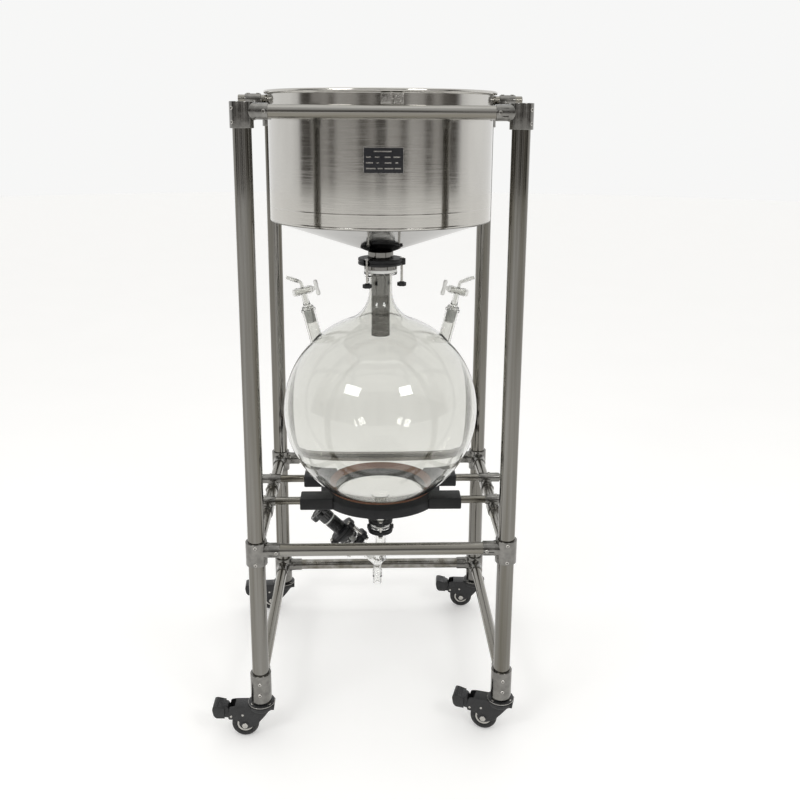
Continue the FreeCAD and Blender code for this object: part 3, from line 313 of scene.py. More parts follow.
def dressed(finish, *nodes):
    """Gives CAD nodes a finish."""
    for node in nodes:
        piece = frame["nodes"][node]
        piece.data.materials.clear()
        piece.data.materials.append(FINISHES[finish]())


# ---- finishes -----------------------------------------------------------------------------------
def colours():
    return bpy.context.scene.filter_colours


def start_finish(name, colour, roughness, metallic=0.0):
    """New material with its colour, roughness and metal share."""
    material = bpy.data.materials.new(name)
    material.use_nodes = True
    shader = material.node_tree.nodes["Principled BSDF"]
    shader.inputs["Base Color"].default_value = (*colour, 1)
    shader.inputs["Roughness"].default_value = roughness
    shader.inputs["Metallic"].default_value = metallic
    return material, shader


def add(material, kind, **settings):
    """New node, with its settings."""
    node = material.node_tree.nodes.new(kind)
    for name, value in settings.items():
        setattr(node, name, value)
    return node


def noise(material, size_mm, stretch=(1, 1, 1), detail=4.0, roughness=0.55):
    """Noise over the piece, with features of a size in millimetres, drawn out along its axes."""
    nodes, links = material.node_tree.nodes, material.node_tree.links
    place = nodes.new("ShaderNodeTexCoord")
    mapping = nodes.new("ShaderNodeMapping")
    mapping.inputs["Scale"].default_value = [1000 / size_mm / s for s in stretch]
    pattern = nodes.new("ShaderNodeTexNoise")
    pattern.inputs["Scale"].default_value = 1.0
    pattern.inputs["Detail"].default_value = detail
    pattern.inputs["Roughness"].default_value = roughness
    links.new(place.outputs["Object"], mapping.inputs["Vector"])
    links.new(mapping.outputs["Vector"], pattern.inputs["Vector"])
    return pattern.outputs["Fac"]


def spread(material, fac, low_value, high_value, start=0.35, end=0.65):
    """Maps a pattern between two values."""
    node = add(material, "ShaderNodeMapRange")
    for name, value in (("From Min", start), ("From Max", end), ("To Min", low_value), ("To Max", high_value)):
        node.inputs[name].default_value = value
    material.node_tree.links.new(fac, node.inputs["Value"])
    return node.outputs["Result"]


def blended(material, fac, first, second):
    """Mix of two colours by a pattern."""
    node = add(material, "ShaderNodeMix", data_type="RGBA")
    node.inputs[6].default_value, node.inputs[7].default_value = (*first, 1), (*second, 1)
    material.node_tree.links.new(fac, node.inputs[0])
    return node.outputs[2]


def vary_colour(material, shader, fac, first, second, start=0.35, end=0.65):
    clear = spread(material, fac, 0.0, 1.0, start, end)
    material.node_tree.links.new(blended(material, clear, first, second), shader.inputs["Base Color"])


def vary_roughness(material, shader, fac, low_value, high_value):
    material.node_tree.links.new(spread(material, fac, low_value, high_value), shader.inputs["Roughness"])


def raise_grain(material, shader, fac, height_mm, strength=1.0):
    bump = add(material, "ShaderNodeBump")
    bump.inputs["Strength"].default_value = strength
    bump.inputs["Distance"].default_value = height_mm * MM
    material.node_tree.links.new(fac, bump.inputs["Height"])
    material.node_tree.links.new(bump.outputs["Normal"], shader.inputs["Normal"])


def scaled(colour, share):
    return tuple(c * share for c in colour)


def once(make):
    """Makes a finish the first time it is asked for and hands out the same one afterwards."""
    def finish():
        name = make.__name__
        return bpy.data.materials.get(name) or make(name)
    FINISHES[make.__name__] = finish
    return finish


def polished_steel(name, stretch, share=0.44, smooth=0.12, rough=0.24):
    """Drawn and polished stainless tube, with faint streaks along it and a few duller patches."""
    # painted shade: the share darkens the tube steel far below the funnel's, standing in for the darker surroundings
    # that the tubes reflect
    colour = scaled(colours().steel, share)
    material, shader = start_finish(name, colour, smooth, 1.0)
    patches = noise(material, 9, tuple(2 * s for s in stretch), detail=4)
    vary_colour(material, shader, patches, scaled(colour, 1.25), (colour[0] * 0.66, colour[1] * 0.63, colour[2] * 0.55))
    streaks = noise(material, 2.2, stretch, detail=5)
    vary_roughness(material, shader, streaks, smooth, rough)
    raise_grain(material, shader, streaks, 0.02, 0.25)
    return material


@once
def upright_tube(name):
    # painted shade: the legs get the darkest share of the steel, 0.33
    return polished_steel(name, (1, 1, 60), 0.33, 0.07, 0.17)


@once
def rail_along_x(name):
    return polished_steel(name, (60, 1, 1))


@once
def rail_along_y(name):
    return polished_steel(name, (1, 60, 1))


@once
def cast_connector(name):
    """Cast and barrel-polished stainless, a little softer than the tubes."""
    # painted shade: the castings' steel is darkened to 0.4 of the panel's steel, standing in for the darker
    # surroundings that they reflect
    colour = scaled(colours().steel, 0.4)
    material, shader = start_finish(name, colour, 0.18, 1.0)
    cloud = noise(material, 14, detail=5)
    vary_colour(material, shader, cloud, colour, scaled(colour, 0.72))
    vary_roughness(material, shader, noise(material, 9, detail=5), 0.13, 0.24)
    raise_grain(material, shader, noise(material, 6, detail=2), 0.05, 0.12)
    return material


@once
def bright_screw(name):
    colour = scaled(colours().steel, 0.9)
    material, shader = start_finish(name, colour, 0.15, 1.0)
    vary_roughness(material, shader, noise(material, 1.2), 0.1, 0.3)
    vary_colour(material, shader, noise(material, 4), colour, scaled(colour, 0.8))
    return material


@once
def rolled_funnel(name):
    """Mirror polished sheet, with polishing lines round it, light hand marks and a faint ripple."""
    colour = scaled(colours().steel, 0.96)
    material, shader = start_finish(name, colour, 0.1, 1.0)
    vary_colour(material, shader, noise(material, 120, (1, 1, 3)), colour, scaled(colour, 0.9))
    lines = noise(material, 1.1, (70, 70, 1), detail=5)
    vary_roughness(material, shader, lines, 0.075, 0.17)
    ripple = noise(material, 90, (1, 1, 4), detail=1)
    raise_grain(material, shader, ripple, 0.9, 0.35)
    return material


@once
def mirror_cone(name):
    """Mirror polished sheet of the cone, the outlet and the drip tube."""
    # painted shade: the cone, outlet and drip tube are the funnel's mirror sheet darkened to 0.36 of the steel,
    # standing in for the darker surroundings that they reflect
    colour = scaled(colours().steel, 0.36)
    material, shader = start_finish(name, colour, 0.06, 1.0)
    vary_colour(material, shader, noise(material, 40), colour, scaled(colour, 0.88))
    vary_roughness(material, shader, noise(material, 18, detail=6), 0.04, 0.12)
    raise_grain(material, shader, noise(material, 50, detail=1), 0.4, 0.3)
    return material


@once
def brushed_plate(name):
    """Perforated filter plate, brushed along X."""
    colour = scaled(colours().steel, 1.0)
    material, shader = start_finish(name, colour, 0.3, 1.0)
    lines = noise(material, 0.9, (90, 1, 1), detail=5)
    vary_roughness(material, shader, lines, 0.22, 0.42)
    vary_colour(material, shader, lines, colour, scaled(colour, 0.86))
    raise_grain(material, shader, lines, 0.02, 0.4)
    return material


def clear_glass(name, tint, roughness=0.0):
    """Clear glass that lets lamps through to what is behind it."""
    material, shader = start_finish(name, tint, roughness)
    shader.inputs["Transmission Weight"].default_value = 1.0
    shader.inputs["IOR"].default_value = 1.47
    links, nodes = material.node_tree.links, material.node_tree.nodes
    rays = add(material, "ShaderNodeLightPath")
    clear = add(material, "ShaderNodeBsdfTransparent")
    clear.inputs["Color"].default_value = (*scaled(tint, 0.97), 1)
    mix = add(material, "ShaderNodeMixShader")
    links.new(rays.outputs["Is Shadow Ray"], mix.inputs["Fac"])
    links.new(shader.outputs["BSDF"], mix.inputs[1])
    links.new(clear.outputs["BSDF"], mix.inputs[2])
    links.new(mix.outputs["Shader"], nodes["Material Output"].inputs["Surface"])
    return material, shader


@once
def flask_glass(name):
    """Blown borosilicate, with the gentle waviness of a large flask."""
    material, shader = clear_glass(name, colours().glass)
    raise_grain(material, shader, noise(material, 110, (1, 1, 1.4), detail=1), 0.5, 0.35)
    return material


@once
def lamp_worked_glass(name):
    """Thick worked glass of the drain valve."""
    material, shader = clear_glass(name, tuple(1 - 0.35 * (1 - c) for c in colours().glass))
    raise_grain(material, shader, noise(material, 22, detail=1), 0.25, 0.35)
    return material


@once
def stopcock_glass(name):
    """Thick worked glass of the stopcocks, greyer and a little hazed."""
    material, shader = clear_glass(name, scaled(colours().glass, 0.97), 0.12)
    raise_grain(material, shader, noise(material, 22, detail=1), 0.25, 0.35)
    return material


@once
def ground_glass(name):
    """Frosted bands of the ground joints."""
    material, shader = start_finish(name, (0.9, 0.91, 0.9), 0.45)
    shader.inputs["Transmission Weight"].default_value = 0.75
    shader.inputs["IOR"].default_value = 1.47
    grit = noise(material, 0.6, detail=3)
    vary_roughness(material, shader, grit, 0.35, 0.6)
    raise_grain(material, shader, grit, 0.03, 0.6)
    return material


@once
def white_ptfe(name):
    """Turned PTFE, waxy, with faint tool lines."""
    colour = tuple(colours().ptfe)
    material, shader = start_finish(name, colour, 0.38)
    shader.inputs["Subsurface Weight"].default_value = 0.12
    shader.inputs["Subsurface Radius"].default_value = (0.004, 0.004, 0.004)
    vary_colour(material, shader, noise(material, 9), colour, scaled(colour, 0.93))
    lines = noise(material, 0.7, (1, 1, 1), detail=2)
    vary_roughness(material, shader, lines, 0.3, 0.5)
    return material


@once
def moulded_black(name):
    """Glass-filled black plastic with a fine pebbled skin."""
    colour = tuple(colours().plastic)
    material, shader = start_finish(name, colour, 0.42)
    shader.inputs["Specular IOR Level"].default_value = 0.35
    vary_colour(material, shader, noise(material, 18), colour, scaled(colour, 1.7))
    skin = noise(material, 0.9, detail=3)
    vary_roughness(material, shader, skin, 0.36, 0.56)
    raise_grain(material, shader, skin, 0.05, 0.5)
    return material


@once
def glossy_black(name):
    """Smooth turned black plastic of the valve and its handwheel."""
    colour = scaled(colours().plastic, 0.8)
    material, shader = start_finish(name, colour, 0.2)
    shader.inputs["Coat Weight"].default_value = 0.3
    shader.inputs["Coat Roughness"].default_value = 0.12
    vary_colour(material, shader, noise(material, 12), colour, scaled(colour, 1.6))
    vary_roughness(material, shader, noise(material, 3), 0.14, 0.3)
    return material


@once
def ring_black(name):
    """Dull painted casting of the support ring, faintly rubbed."""
    colour = scaled(colours().plastic, 1.1)
    material, shader = start_finish(name, colour, 0.5)
    shader.inputs["Specular IOR Level"].default_value = 0.3
    vary_colour(material, shader, noise(material, 35), colour, scaled(colour, 1.5))
    skin = noise(material, 1.4, detail=4)
    vary_roughness(material, shader, skin, 0.42, 0.62)
    raise_grain(material, shader, skin, 0.06, 0.5)
    return material


@once
def brown_liner(name):
    """Red-brown rubber cord of the seat."""
    colour = tuple(colours().liner)
    material, shader = start_finish(name, colour, 0.55)
    vary_colour(material, shader, noise(material, 8), colour, scaled(colour, 0.7))
    raise_grain(material, shader, noise(material, 1.0), 0.05, 0.6)
    return material


@once
def castor_paint(name):
    """Satin black cover of the castors."""
    colour = scaled(colours().plastic, 0.9)
    material, shader = start_finish(name, colour, 0.3)
    vary_colour(material, shader, noise(material, 10), colour, scaled(colour, 1.8))
    skin = noise(material, 1.3, detail=4)
    vary_roughness(material, shader, skin, 0.24, 0.42)
    raise_grain(material, shader, skin, 0.04, 0.4)
    return material


@once
def tyre_rubber(name):
    """Black tread with dust in its pores."""
    colour = scaled(colours().plastic, 0.85)
    material, shader = start_finish(name, colour, 0.5)
    dust = noise(material, 6, detail=6)
    vary_colour(material, shader, dust, colour, (0.075, 0.072, 0.068), 0.45, 0.85)
    vary_roughness(material, shader, dust, 0.4, 0.7)
    raise_grain(material, shader, noise(material, 0.8), 0.05, 0.5)
    return material


@once
def plate_black(name):
    """Anodised black of the name plate."""
    colour = tuple(colours().plate)
    material, shader = start_finish(name, colour, 0.3)
    shader.inputs["Specular IOR Level"].default_value = 0.28
    vary_colour(material, shader, noise(material, 2.5), colour, scaled(colour, 1.5))
    vary_roughness(material, shader, noise(material, 0.8, (20, 20, 1)), 0.24, 0.4)
    return material


# ---- sizes and colours --------------------------------------------------------------------------
class FilterSizes(bpy.types.PropertyGroup):
    """Sizes of the details that the CAD pieces leave plain"""
    rim_roll: FloatProperty(name="Rim roll", description="Rounding of the funnel's rolled rim",
                            default=0.0039, min=0.001, max=0.004, unit="LENGTH")
    weld_height: FloatProperty(name="Weld height", description="How far the welds stand proud",
                               default=0.0006, min=0.0, max=0.003, unit="LENGTH")
    connector_edge: FloatProperty(name="Connector edge", description="Rounding of the connectors' edges",
                                  default=0.0012, min=0.0003, max=0.003, unit="LENGTH")
    clamp_edge: FloatProperty(name="Clamp edge", description="Rounding of the moulded clamps",
                              default=0.0018, min=0.0003, max=0.003, unit="LENGTH")
    thread_pitch: FloatProperty(name="Thread pitch", description="Pitch of the ribs on the valve's bonnet",
                                default=0.003, min=0.002, max=0.006, unit="LENGTH")
    wheel_flutes: IntProperty(name="Handwheel lobes", description="Number of lobes on the handwheel",
                              default=8, min=5, max=12)
    round_steps: IntProperty(name="Steps round large pieces", description="Faces round the funnel and flask",
                             default=192, min=48, max=256)


class FilterColours(bpy.types.PropertyGroup):
    """Colours of the finishes"""
    steel: FloatVectorProperty(name="Steel", description="Polished stainless steel", subtype="COLOR",
                               size=3, default=(0.60, 0.585, 0.55), min=0.0, max=1.0)
    glass: FloatVectorProperty(name="Glass", description="Tint of the clear glass", subtype="COLOR",
                               size=3, default=(0.835, 0.836, 0.812), min=0.0, max=1.0)
    ptfe: FloatVectorProperty(name="PTFE", description="White of the plugs, the stem and the gaskets",
                              subtype="COLOR", size=3, default=(0.86, 0.86, 0.84), min=0.0, max=1.0)
    plastic: FloatVectorProperty(name="Plastic", description="Black of the clamps, the ring and the castors",
                                 subtype="COLOR", size=3, default=(0.0095, 0.0098, 0.0105), min=0.0, max=1.0)
    liner: FloatVectorProperty(name="Liner", description="Rubber between the flask and its ring",
                               subtype="COLOR", size=3, default=(0.09, 0.031, 0.018), min=0.0, max=1.0)
    plate: FloatVectorProperty(name="Name plate", description="Black of the name plate", subtype="COLOR",
                               size=3, default=(0.012, 0.012, 0.014), min=0.0, max=1.0)
    floor: FloatVectorProperty(name="Floor", description="Studio floor", subtype="COLOR", size=3,
                               default=(0.90, 0.895, 0.885), min=0.0, max=1.0)


class FilterStudio(bpy.types.PropertyGroup):
    """Camera and lamps"""
    lens: FloatProperty(name="Lens", description="Focal length", default=40.3, min=20, max=120,
                        unit="CAMERA")
    eye: FloatVectorProperty(name="Eye", description="Place of the camera", subtype="TRANSLATION", size=3,
                             default=(-0.0235, -2.122, 1.406))
    yaw: FloatProperty(name="Yaw", description="Turn of the camera towards +X", subtype="ANGLE",
                       default=math.radians(1.83))
    pitch: FloatProperty(name="Pitch", description="Downward tilt of the camera", subtype="ANGLE",
                         default=math.radians(13.6))
    roll: FloatProperty(name="Roll", description="Roll of the camera", subtype="ANGLE",
                        default=math.radians(-0.34))
    shift: FloatProperty(name="Shift", description="Vertical lens shift", default=-0.08, min=-0.3, max=0.3)
    key_power: FloatProperty(name="Key power", description="Power of the two front soft boxes",
                             default=13.0, min=0.0, max=500.0, unit="POWER")
    top_power: FloatProperty(name="Top power", description="Power of the overhead soft box",
                             default=10.0, min=0.0, max=500.0, unit="POWER")
    sky: FloatProperty(name="Surround", description="Brightness of the studio walls", default=1.0, min=0.0,
                       max=5.0)


def sizes():
    return bpy.context.scene.filter_sizes


# ---- studio -------------------------------------------------------------------------------------
def soft_box(name, place, target, width, height, power):
    """Rectangular lamp aimed at a point."""
    bpy.ops.object.light_add(type="AREA", location=place)
    lamp = bpy.context.object
    lamp.name = name
    lamp.data.shape, lamp.data.size, lamp.data.size_y, lamp.data.energy = "RECTANGLE", width, height, power
    lamp.rotation_euler = (Vector(target) - Vector(place)).to_track_quat("-Z", "Y").to_euler()
    lamp.visible_camera = False
    return lamp


def studio_walls(strength):
    """Surround light: bright walls behind and beside the object, darker ones with soft upright bands in front."""
    world = bpy.data.worlds.new("studio_walls")
    bpy.context.scene.world = world
    world.use_nodes = True
    nodes, links = world.node_tree.nodes, world.node_tree.links
    place = nodes.new("ShaderNodeTexCoord")
    parts = nodes.new("ShaderNodeSeparateXYZ")
    links.new(place.outputs["Generated"], parts.inputs["Vector"])
    back = nodes.new("ShaderNodeMath")
    back.operation = "MULTIPLY"
    back.inputs[1].default_value = -1.0
    links.new(parts.outputs["Y"], back.inputs[0])
    angle = nodes.new("ShaderNodeMath")
    angle.operation = "ARCTAN2"
    links.new(parts.outputs["X"], angle.inputs[0])
    links.new(back.outputs["Value"], angle.inputs[1])
    share = nodes.new("ShaderNodeMapRange")
    share.inputs["From Min"].default_value = -math.pi
    share.inputs["From Max"].default_value = math.pi
    links.new(angle.outputs["Value"], share.inputs["Value"])
    walls = nodes.new("ShaderNodeValToRGB")
    walls.color_ramp.interpolation = "EASE"
    bands = [
        (-180, 0.92), (-104, 0.95), (-92, 0.80), (-84, 0.10), (-76, 0.075), (-70, 0.30), (-56, 0.34),
        (-50, 0.16), (-42, 0.42), (-26, 0.36), (-19, 0.14), (-8, 0.30), (-3, 0.09), (3, 0.09), (7, 0.40),
        (16, 0.34), (21, 0.15), (30, 0.46), (40, 0.40), (47, 0.13), (56, 0.36), (66, 0.14), (78, 0.09),
        (90, 0.80), (104, 0.95), (180, 0.92),
    ]
    ramp = walls.color_ramp.elements
    for degrees, grey in bands:
        stop = ramp.new((degrees + 180) / 360) if 0 < (degrees + 180) / 360 < 1 else ramp[0 if degrees < 0 else -1]
        warm = 1 - 0.16 * (1 - grey) ** 2
        stop.color = (grey, grey * (1 + warm) / 2, grey * warm, 1)
    links.new(share.outputs["Result"], walls.inputs["Fac"])
    height = nodes.new("ShaderNodeMapRange")
    height.inputs["From Min"].default_value = 0.25
    height.inputs["From Max"].default_value = 0.75
    links.new(parts.outputs["Z"], height.inputs["Value"])
    ceiling = nodes.new("ShaderNodeMix")
    ceiling.data_type = "RGBA"
    ceiling.inputs[7].default_value = (0.85, 0.85, 0.84, 1)
    links.new(height.outputs["Result"], ceiling.inputs[0])
    links.new(walls.outputs["Color"], ceiling.inputs[6])
    rays = nodes.new("ShaderNodeLightPath")
    seen = nodes.new("ShaderNodeMix")
    seen.data_type = "RGBA"
    seen.inputs[7].default_value = (0.93, 0.93, 0.925, 1)
    links.new(rays.outputs["Is Camera Ray"], seen.inputs[0])
    links.new(ceiling.outputs[2], seen.inputs[6])
    background = nodes["Background"]
    background.inputs["Strength"].default_value = strength
    links.new(seen.outputs[2], background.inputs["Color"])


class FILTER_OT_stage(bpy.types.Operator):
    """Lay the floor, hang the soft boxes and set up the camera"""
    bl_idname = "vacuum_filter.stage"
    bl_label = "Studio"

    def execute(self, context):
        studio = context.scene.filter_studio
        bpy.ops.mesh.primitive_circle_add(vertices=96, radius=16, fill_type="NGON", location=(0, 0, -0.0006))
        floor = context.object
        floor.name = "studio_floor"
        material, shader = start_finish("floor_paper", colours().floor, 0.7)
        shader.inputs["Emission Color"].default_value = (*colours().floor, 1)
        shader.inputs["Emission Strength"].default_value = 0.25
        vary_colour(material, shader, noise(material, 400), colours().floor, scaled(colours().floor, 0.985))
        floor.data.materials.append(material)
        studio_walls(studio.sky)
        soft_box("soft_box_left", (-1.5, -1.9, 2.3), (0, 0, 0.8), 0.9, 0.5, studio.key_power)
        soft_box("soft_box_right", (1.3, -2.0, 2.3), (0, 0, 0.8), 0.7, 0.5, studio.key_power * 0.8)
        soft_box("soft_box_top", (0, 0.2, 3.4), (0, 0, 0), 2.4, 2.4, studio.top_power)
        bpy.ops.object.camera_add(location=studio.eye)
        camera = context.object
        camera.name = "camera"
        camera.data.lens, camera.data.sensor_width = studio.lens, 36
        camera.data.shift_y = studio.shift
        camera.rotation_euler = (math.pi / 2 - studio.pitch, studio.roll, -studio.yaw)
        camera.data.clip_start, camera.data.clip_end = 0.05, 60
        context.scene.camera = camera
        context.scene.view_settings.view_transform = "Standard"
        return {"FINISHED"}


# ---- tube frame ---------------------------------------------------------------------------------
class FILTER_OT_tubes(bpy.types.Operator):
    """Polish the legs and rails of the frame"""
    bl_idname = "vacuum_filter.tubes"
    bl_label = "Legs and rails"

    def execute(self, context):
        dressed("upright_tube", *["leg_" + name for name in CORNERS])
        for level in ("top", "mid"):
            dressed("rail_along_x", "%s_rail_front" % level, "%s_rail_rear" % level)
            dressed("rail_along_y", "%s_rail_left" % level, "%s_rail_right" % level)
        dressed("rail_along_y", "low_rails")
        dressed("rail_along_x", "ring_bars")
        return {"FINISHED"}


def connector(name, bottom, top, rail, arms, capped=False):
    """Cast sleeve of the leg at +X +Y, built about its own axis, with an arm for each rail."""
    edge = sizes().connector_edge / MM
    sleeve = rod(name, 24, top - bottom, (0, 0, bottom), edge=edge, steps=72)
    blank = [rod("arm", 16.5, 53, (0, 0, rail), arm, edge=edge, steps=60) for arm in arms]
    roots = [
        turned("root", [(0, 12), (18.4, 12), (18.4, 22), (16.6, 28.5), (0, 28.5)], (0, 0, rail), arm, 60)
        for arm in arms
    ]
    carved(sleeve, blank + roots, "UNION")
    depth = top - bottom + (-2 if capped else 2)
    tools = [rod("bore", 19.15, depth, (0, 0, bottom - 1), edge=0.01, steps=72)]
    tools += [rod("socket", 14.15, 40, Vector((0, 0, rail)) + 26 * Vector(arm), arm, edge=0.01) for arm in arms]
    carved(sleeve, tools)
    return softened(sleeve, 0.9, 2, 38)


def at_corners(name, first, turns):
    """Copies of a connector at the corners, each turned by a number of quarter turns."""
    copies = []
    for (x, y), quarters in turns:
        place = Matrix.Translation(Vector((x * HALF, y * HALF, 0)) * MM) @ Matrix.Rotation(quarters * math.pi / 2, 4, "Z")
        copies.append(copied(first, name, place))
    bpy.data.objects.remove(first)
    return joined(name, copies)


class FILTER_OT_connectors(bpy.types.Operator):
    """Model the cast corner pieces, tees and base sleeves with blended arms"""
    bl_idname = "vacuum_filter.connectors"
    bl_label = "Connectors"

    def execute(self, context):
        inward = [(-1, 0, 0), (0, -1, 0)]
        all_round = [((1, 1), 0), ((-1, 1), 1), ((-1, -1), 2), ((1, -1), 3)]
        corner = connector("corner", low("top_corners", 2), high("top_corners", 2), TOP_RAIL_Z, inward, True)
        corner = at_corners("corner_castings", corner, all_round)
        done(corner, "frame", "cast_connector", "cast_steel", "top_corners")
        tee = connector("tee", low("mid_tees", 2), high("mid_tees", 2), MID_RAIL_Z, inward)
        done(at_corners("tee_castings", tee, all_round), "frame", "cast_connector", "cast_steel", "mid_tees")
        bottom, top = low("base_sleeves", 2), high("base_sleeves", 2)
        rear = connector("rear", bottom, top, LOW_RAIL_Z, inward)
        rear = at_corners("rear", rear, all_round[:2])
        front = connector("front", bottom, top, LOW_RAIL_Z, [(0, 1, 0)])
        front = at_corners("front", front, [((1, -1), 0), ((-1, -1), 0)])
        done(joined("base_castings", [rear, front]), "frame", "cast_connector", "cast_steel", "base_sleeves")
        dressed("bright_screw", "set_screws")
        return {"FINISHED"}


def cross_clamp(name, bar_z, rail_z, offset, length):
    """Two sleeves at right angles with a waisted web, for the side rail at +X, built at y = 0."""
    centre = HALF + offset
    clamp = rod(name, 16.5, 40, (HALF, -20, rail_z), (0, 1, 0), edge=1.0, steps=60)
    upper = rod("upper", 12, length, (centre - length / 2, 0, bar_z), (1, 0, 0), edge=1.0, steps=48)
    web = block("web", (HALF - 11, -12, rail_z), (HALF + 11, 12, bar_z), 3.0)
    carved(clamp, [upper, web], "UNION")
    carved(clamp, [
        rod("bore", 14.15, 60, (HALF, -30, rail_z), (0, 1, 0), edge=0.01, steps=60),
        rod("bore", 9.65, length + 40, (centre - length / 2 - 20, 0, bar_z), (1, 0, 0), edge=0.01),
    ])
    return softened(clamp, 0.8, 2, 38)


class FILTER_OT_cross_clamps(bpy.types.Operator):
    """Model the clamps that hold the funnel's trunnions and the ring's bars on the rails"""
    bl_idname = "vacuum_filter.cross_clamps"
    bl_label = "Cross clamps"

    def execute(self, context):
        flip = Matrix.Rotation(math.pi, 4, "Z")
        right = cross_clamp("right", TRUNNION_Z, TOP_RAIL_Z, 11, 36)
        left = copied(right, "left", flip)
        done(joined("trunnion_clamps", [right, left]), "frame", "cast_connector", "cast_steel", "funnel_clamps")
        first = cross_clamp("first", BAR_Z, MID_RAIL_Z, 5, 54)
        reach = (high("ring_bars", 1) - low("ring_bars", 1) - 19) / 2 * MM
        copies = [copied(first, "clamp", Matrix.Translation((0, y, 0)) @ turn)
                  for turn in (Matrix.Identity(4), flip) for y in (-reach, reach)]
        bpy.data.objects.remove(first)
        done(joined("bar_clamps", copies), "frame", "cast_connector", "cast_steel", "ring_clamps")
        return {"FINISHED"}


# ---- funnel -------------------------------------------------------------------------------------
class FILTER_OT_funnel(bpy.types.Operator):
    """Model the funnel's wall with its rolled rim and welds, and its cone with the outlet"""
    bl_idname = "vacuum_filter.funnel"
    bl_label = "Funnel"

    def execute(self, context):
        steps, weld, roll = sizes().round_steps, sizes().weld_height / MM, sizes().rim_roll / MM
        inner = FUNNEL_R - 1.5
        wall = turned("funnel_shell", [
            (inner, FUNNEL_Z + 0.2), (FUNNEL_R, FUNNEL_Z + 0.2), (FUNNEL_R + weld * 0.6, FUNNEL_Z + 1.4, 0.5),
            (FUNNEL_R + weld * 0.6, FUNNEL_Z + 3.0, 0.5), (FUNNEL_R, FUNNEL_Z + 4.2), (FUNNEL_R, FUNNEL_Z + 5.4),
            (FUNNEL_R, LEDGE_Z - 1.2), (FUNNEL_R, LEDGE_Z), (FUNNEL_R + 0.1, LEDGE_Z + 0.8, 0.4),
            (FUNNEL_R + 0.1, LEDGE_Z + 1.8, 0.4), (FUNNEL_R, LEDGE_Z + 2.6), (FUNNEL_R, LEDGE_Z + 3.8),
            (FUNNEL_R, FUNNEL_TOP - 4), (FUNNEL_R, FUNNEL_TOP - 3), (FUNNEL_R, FUNNEL_TOP, 1.5), (RIM_R, FUNNEL_TOP, roll),
            (RIM_R, RIM_TOP, roll), (inner, RIM_TOP, roll), (inner, LEDGE_Z + 4),
            (inner, LEDGE_Z, 2.5), (inner - 12, LEDGE_Z, 0.8), (inner - 12, LEDGE_Z - 4, 0.8),
            (inner, LEDGE_Z - 4, 1.5),
        ], steps=steps)
        done(wall, "frame", "rolled_funnel", "mirror_steel", "funnel_wall")
        flange_top = STEEL_FLANGE_Z + 10.5
        cone = turned("funnel_cone_shell", [
            (22.65, STEEL_FLANGE_Z), (40, STEEL_FLANGE_Z, 1.2), (40, flange_top, 1.2), (30.5, flange_top, 0.8),
            (30.5, OUTLET_TOP - 1, 2.0), (FUNNEL_R - 2, FUNNEL_Z - 2.1, 0.8), (FUNNEL_R, FUNNEL_Z - 1.5, 0.5),
            (FUNNEL_R, FUNNEL_Z), (FUNNEL_R - 4, FUNNEL_Z), (29, OUTLET_TOP + 1.5, 2.0),
            (29, flange_top, 1.0), (22.65, flange_top, 0.4),
        ], steps=steps)
        done(cone, "frame", "mirror_cone", "mirror_steel", "funnel_cone")
        tube_top, tube_foot = high("drip_tube", 2), low("drip_tube", 2)
        tube = turned("drip_pipe", [
            (21, tube_foot + 2), (21, tube_foot, 0.5), (22.5, tube_foot, 0.5), (22.5, tube_top, 0.5),
            (21, tube_top, 0.5),
        ], steps=96)
        done(tube, "frame", "mirror_cone", "mirror_steel", "drip_tube")
        dressed("brushed_plate", "filter_plate")
        dressed("bright_screw", "lift_handle")
        dressed("white_ptfe", "filter_seal")
        return {"FINISHED"}


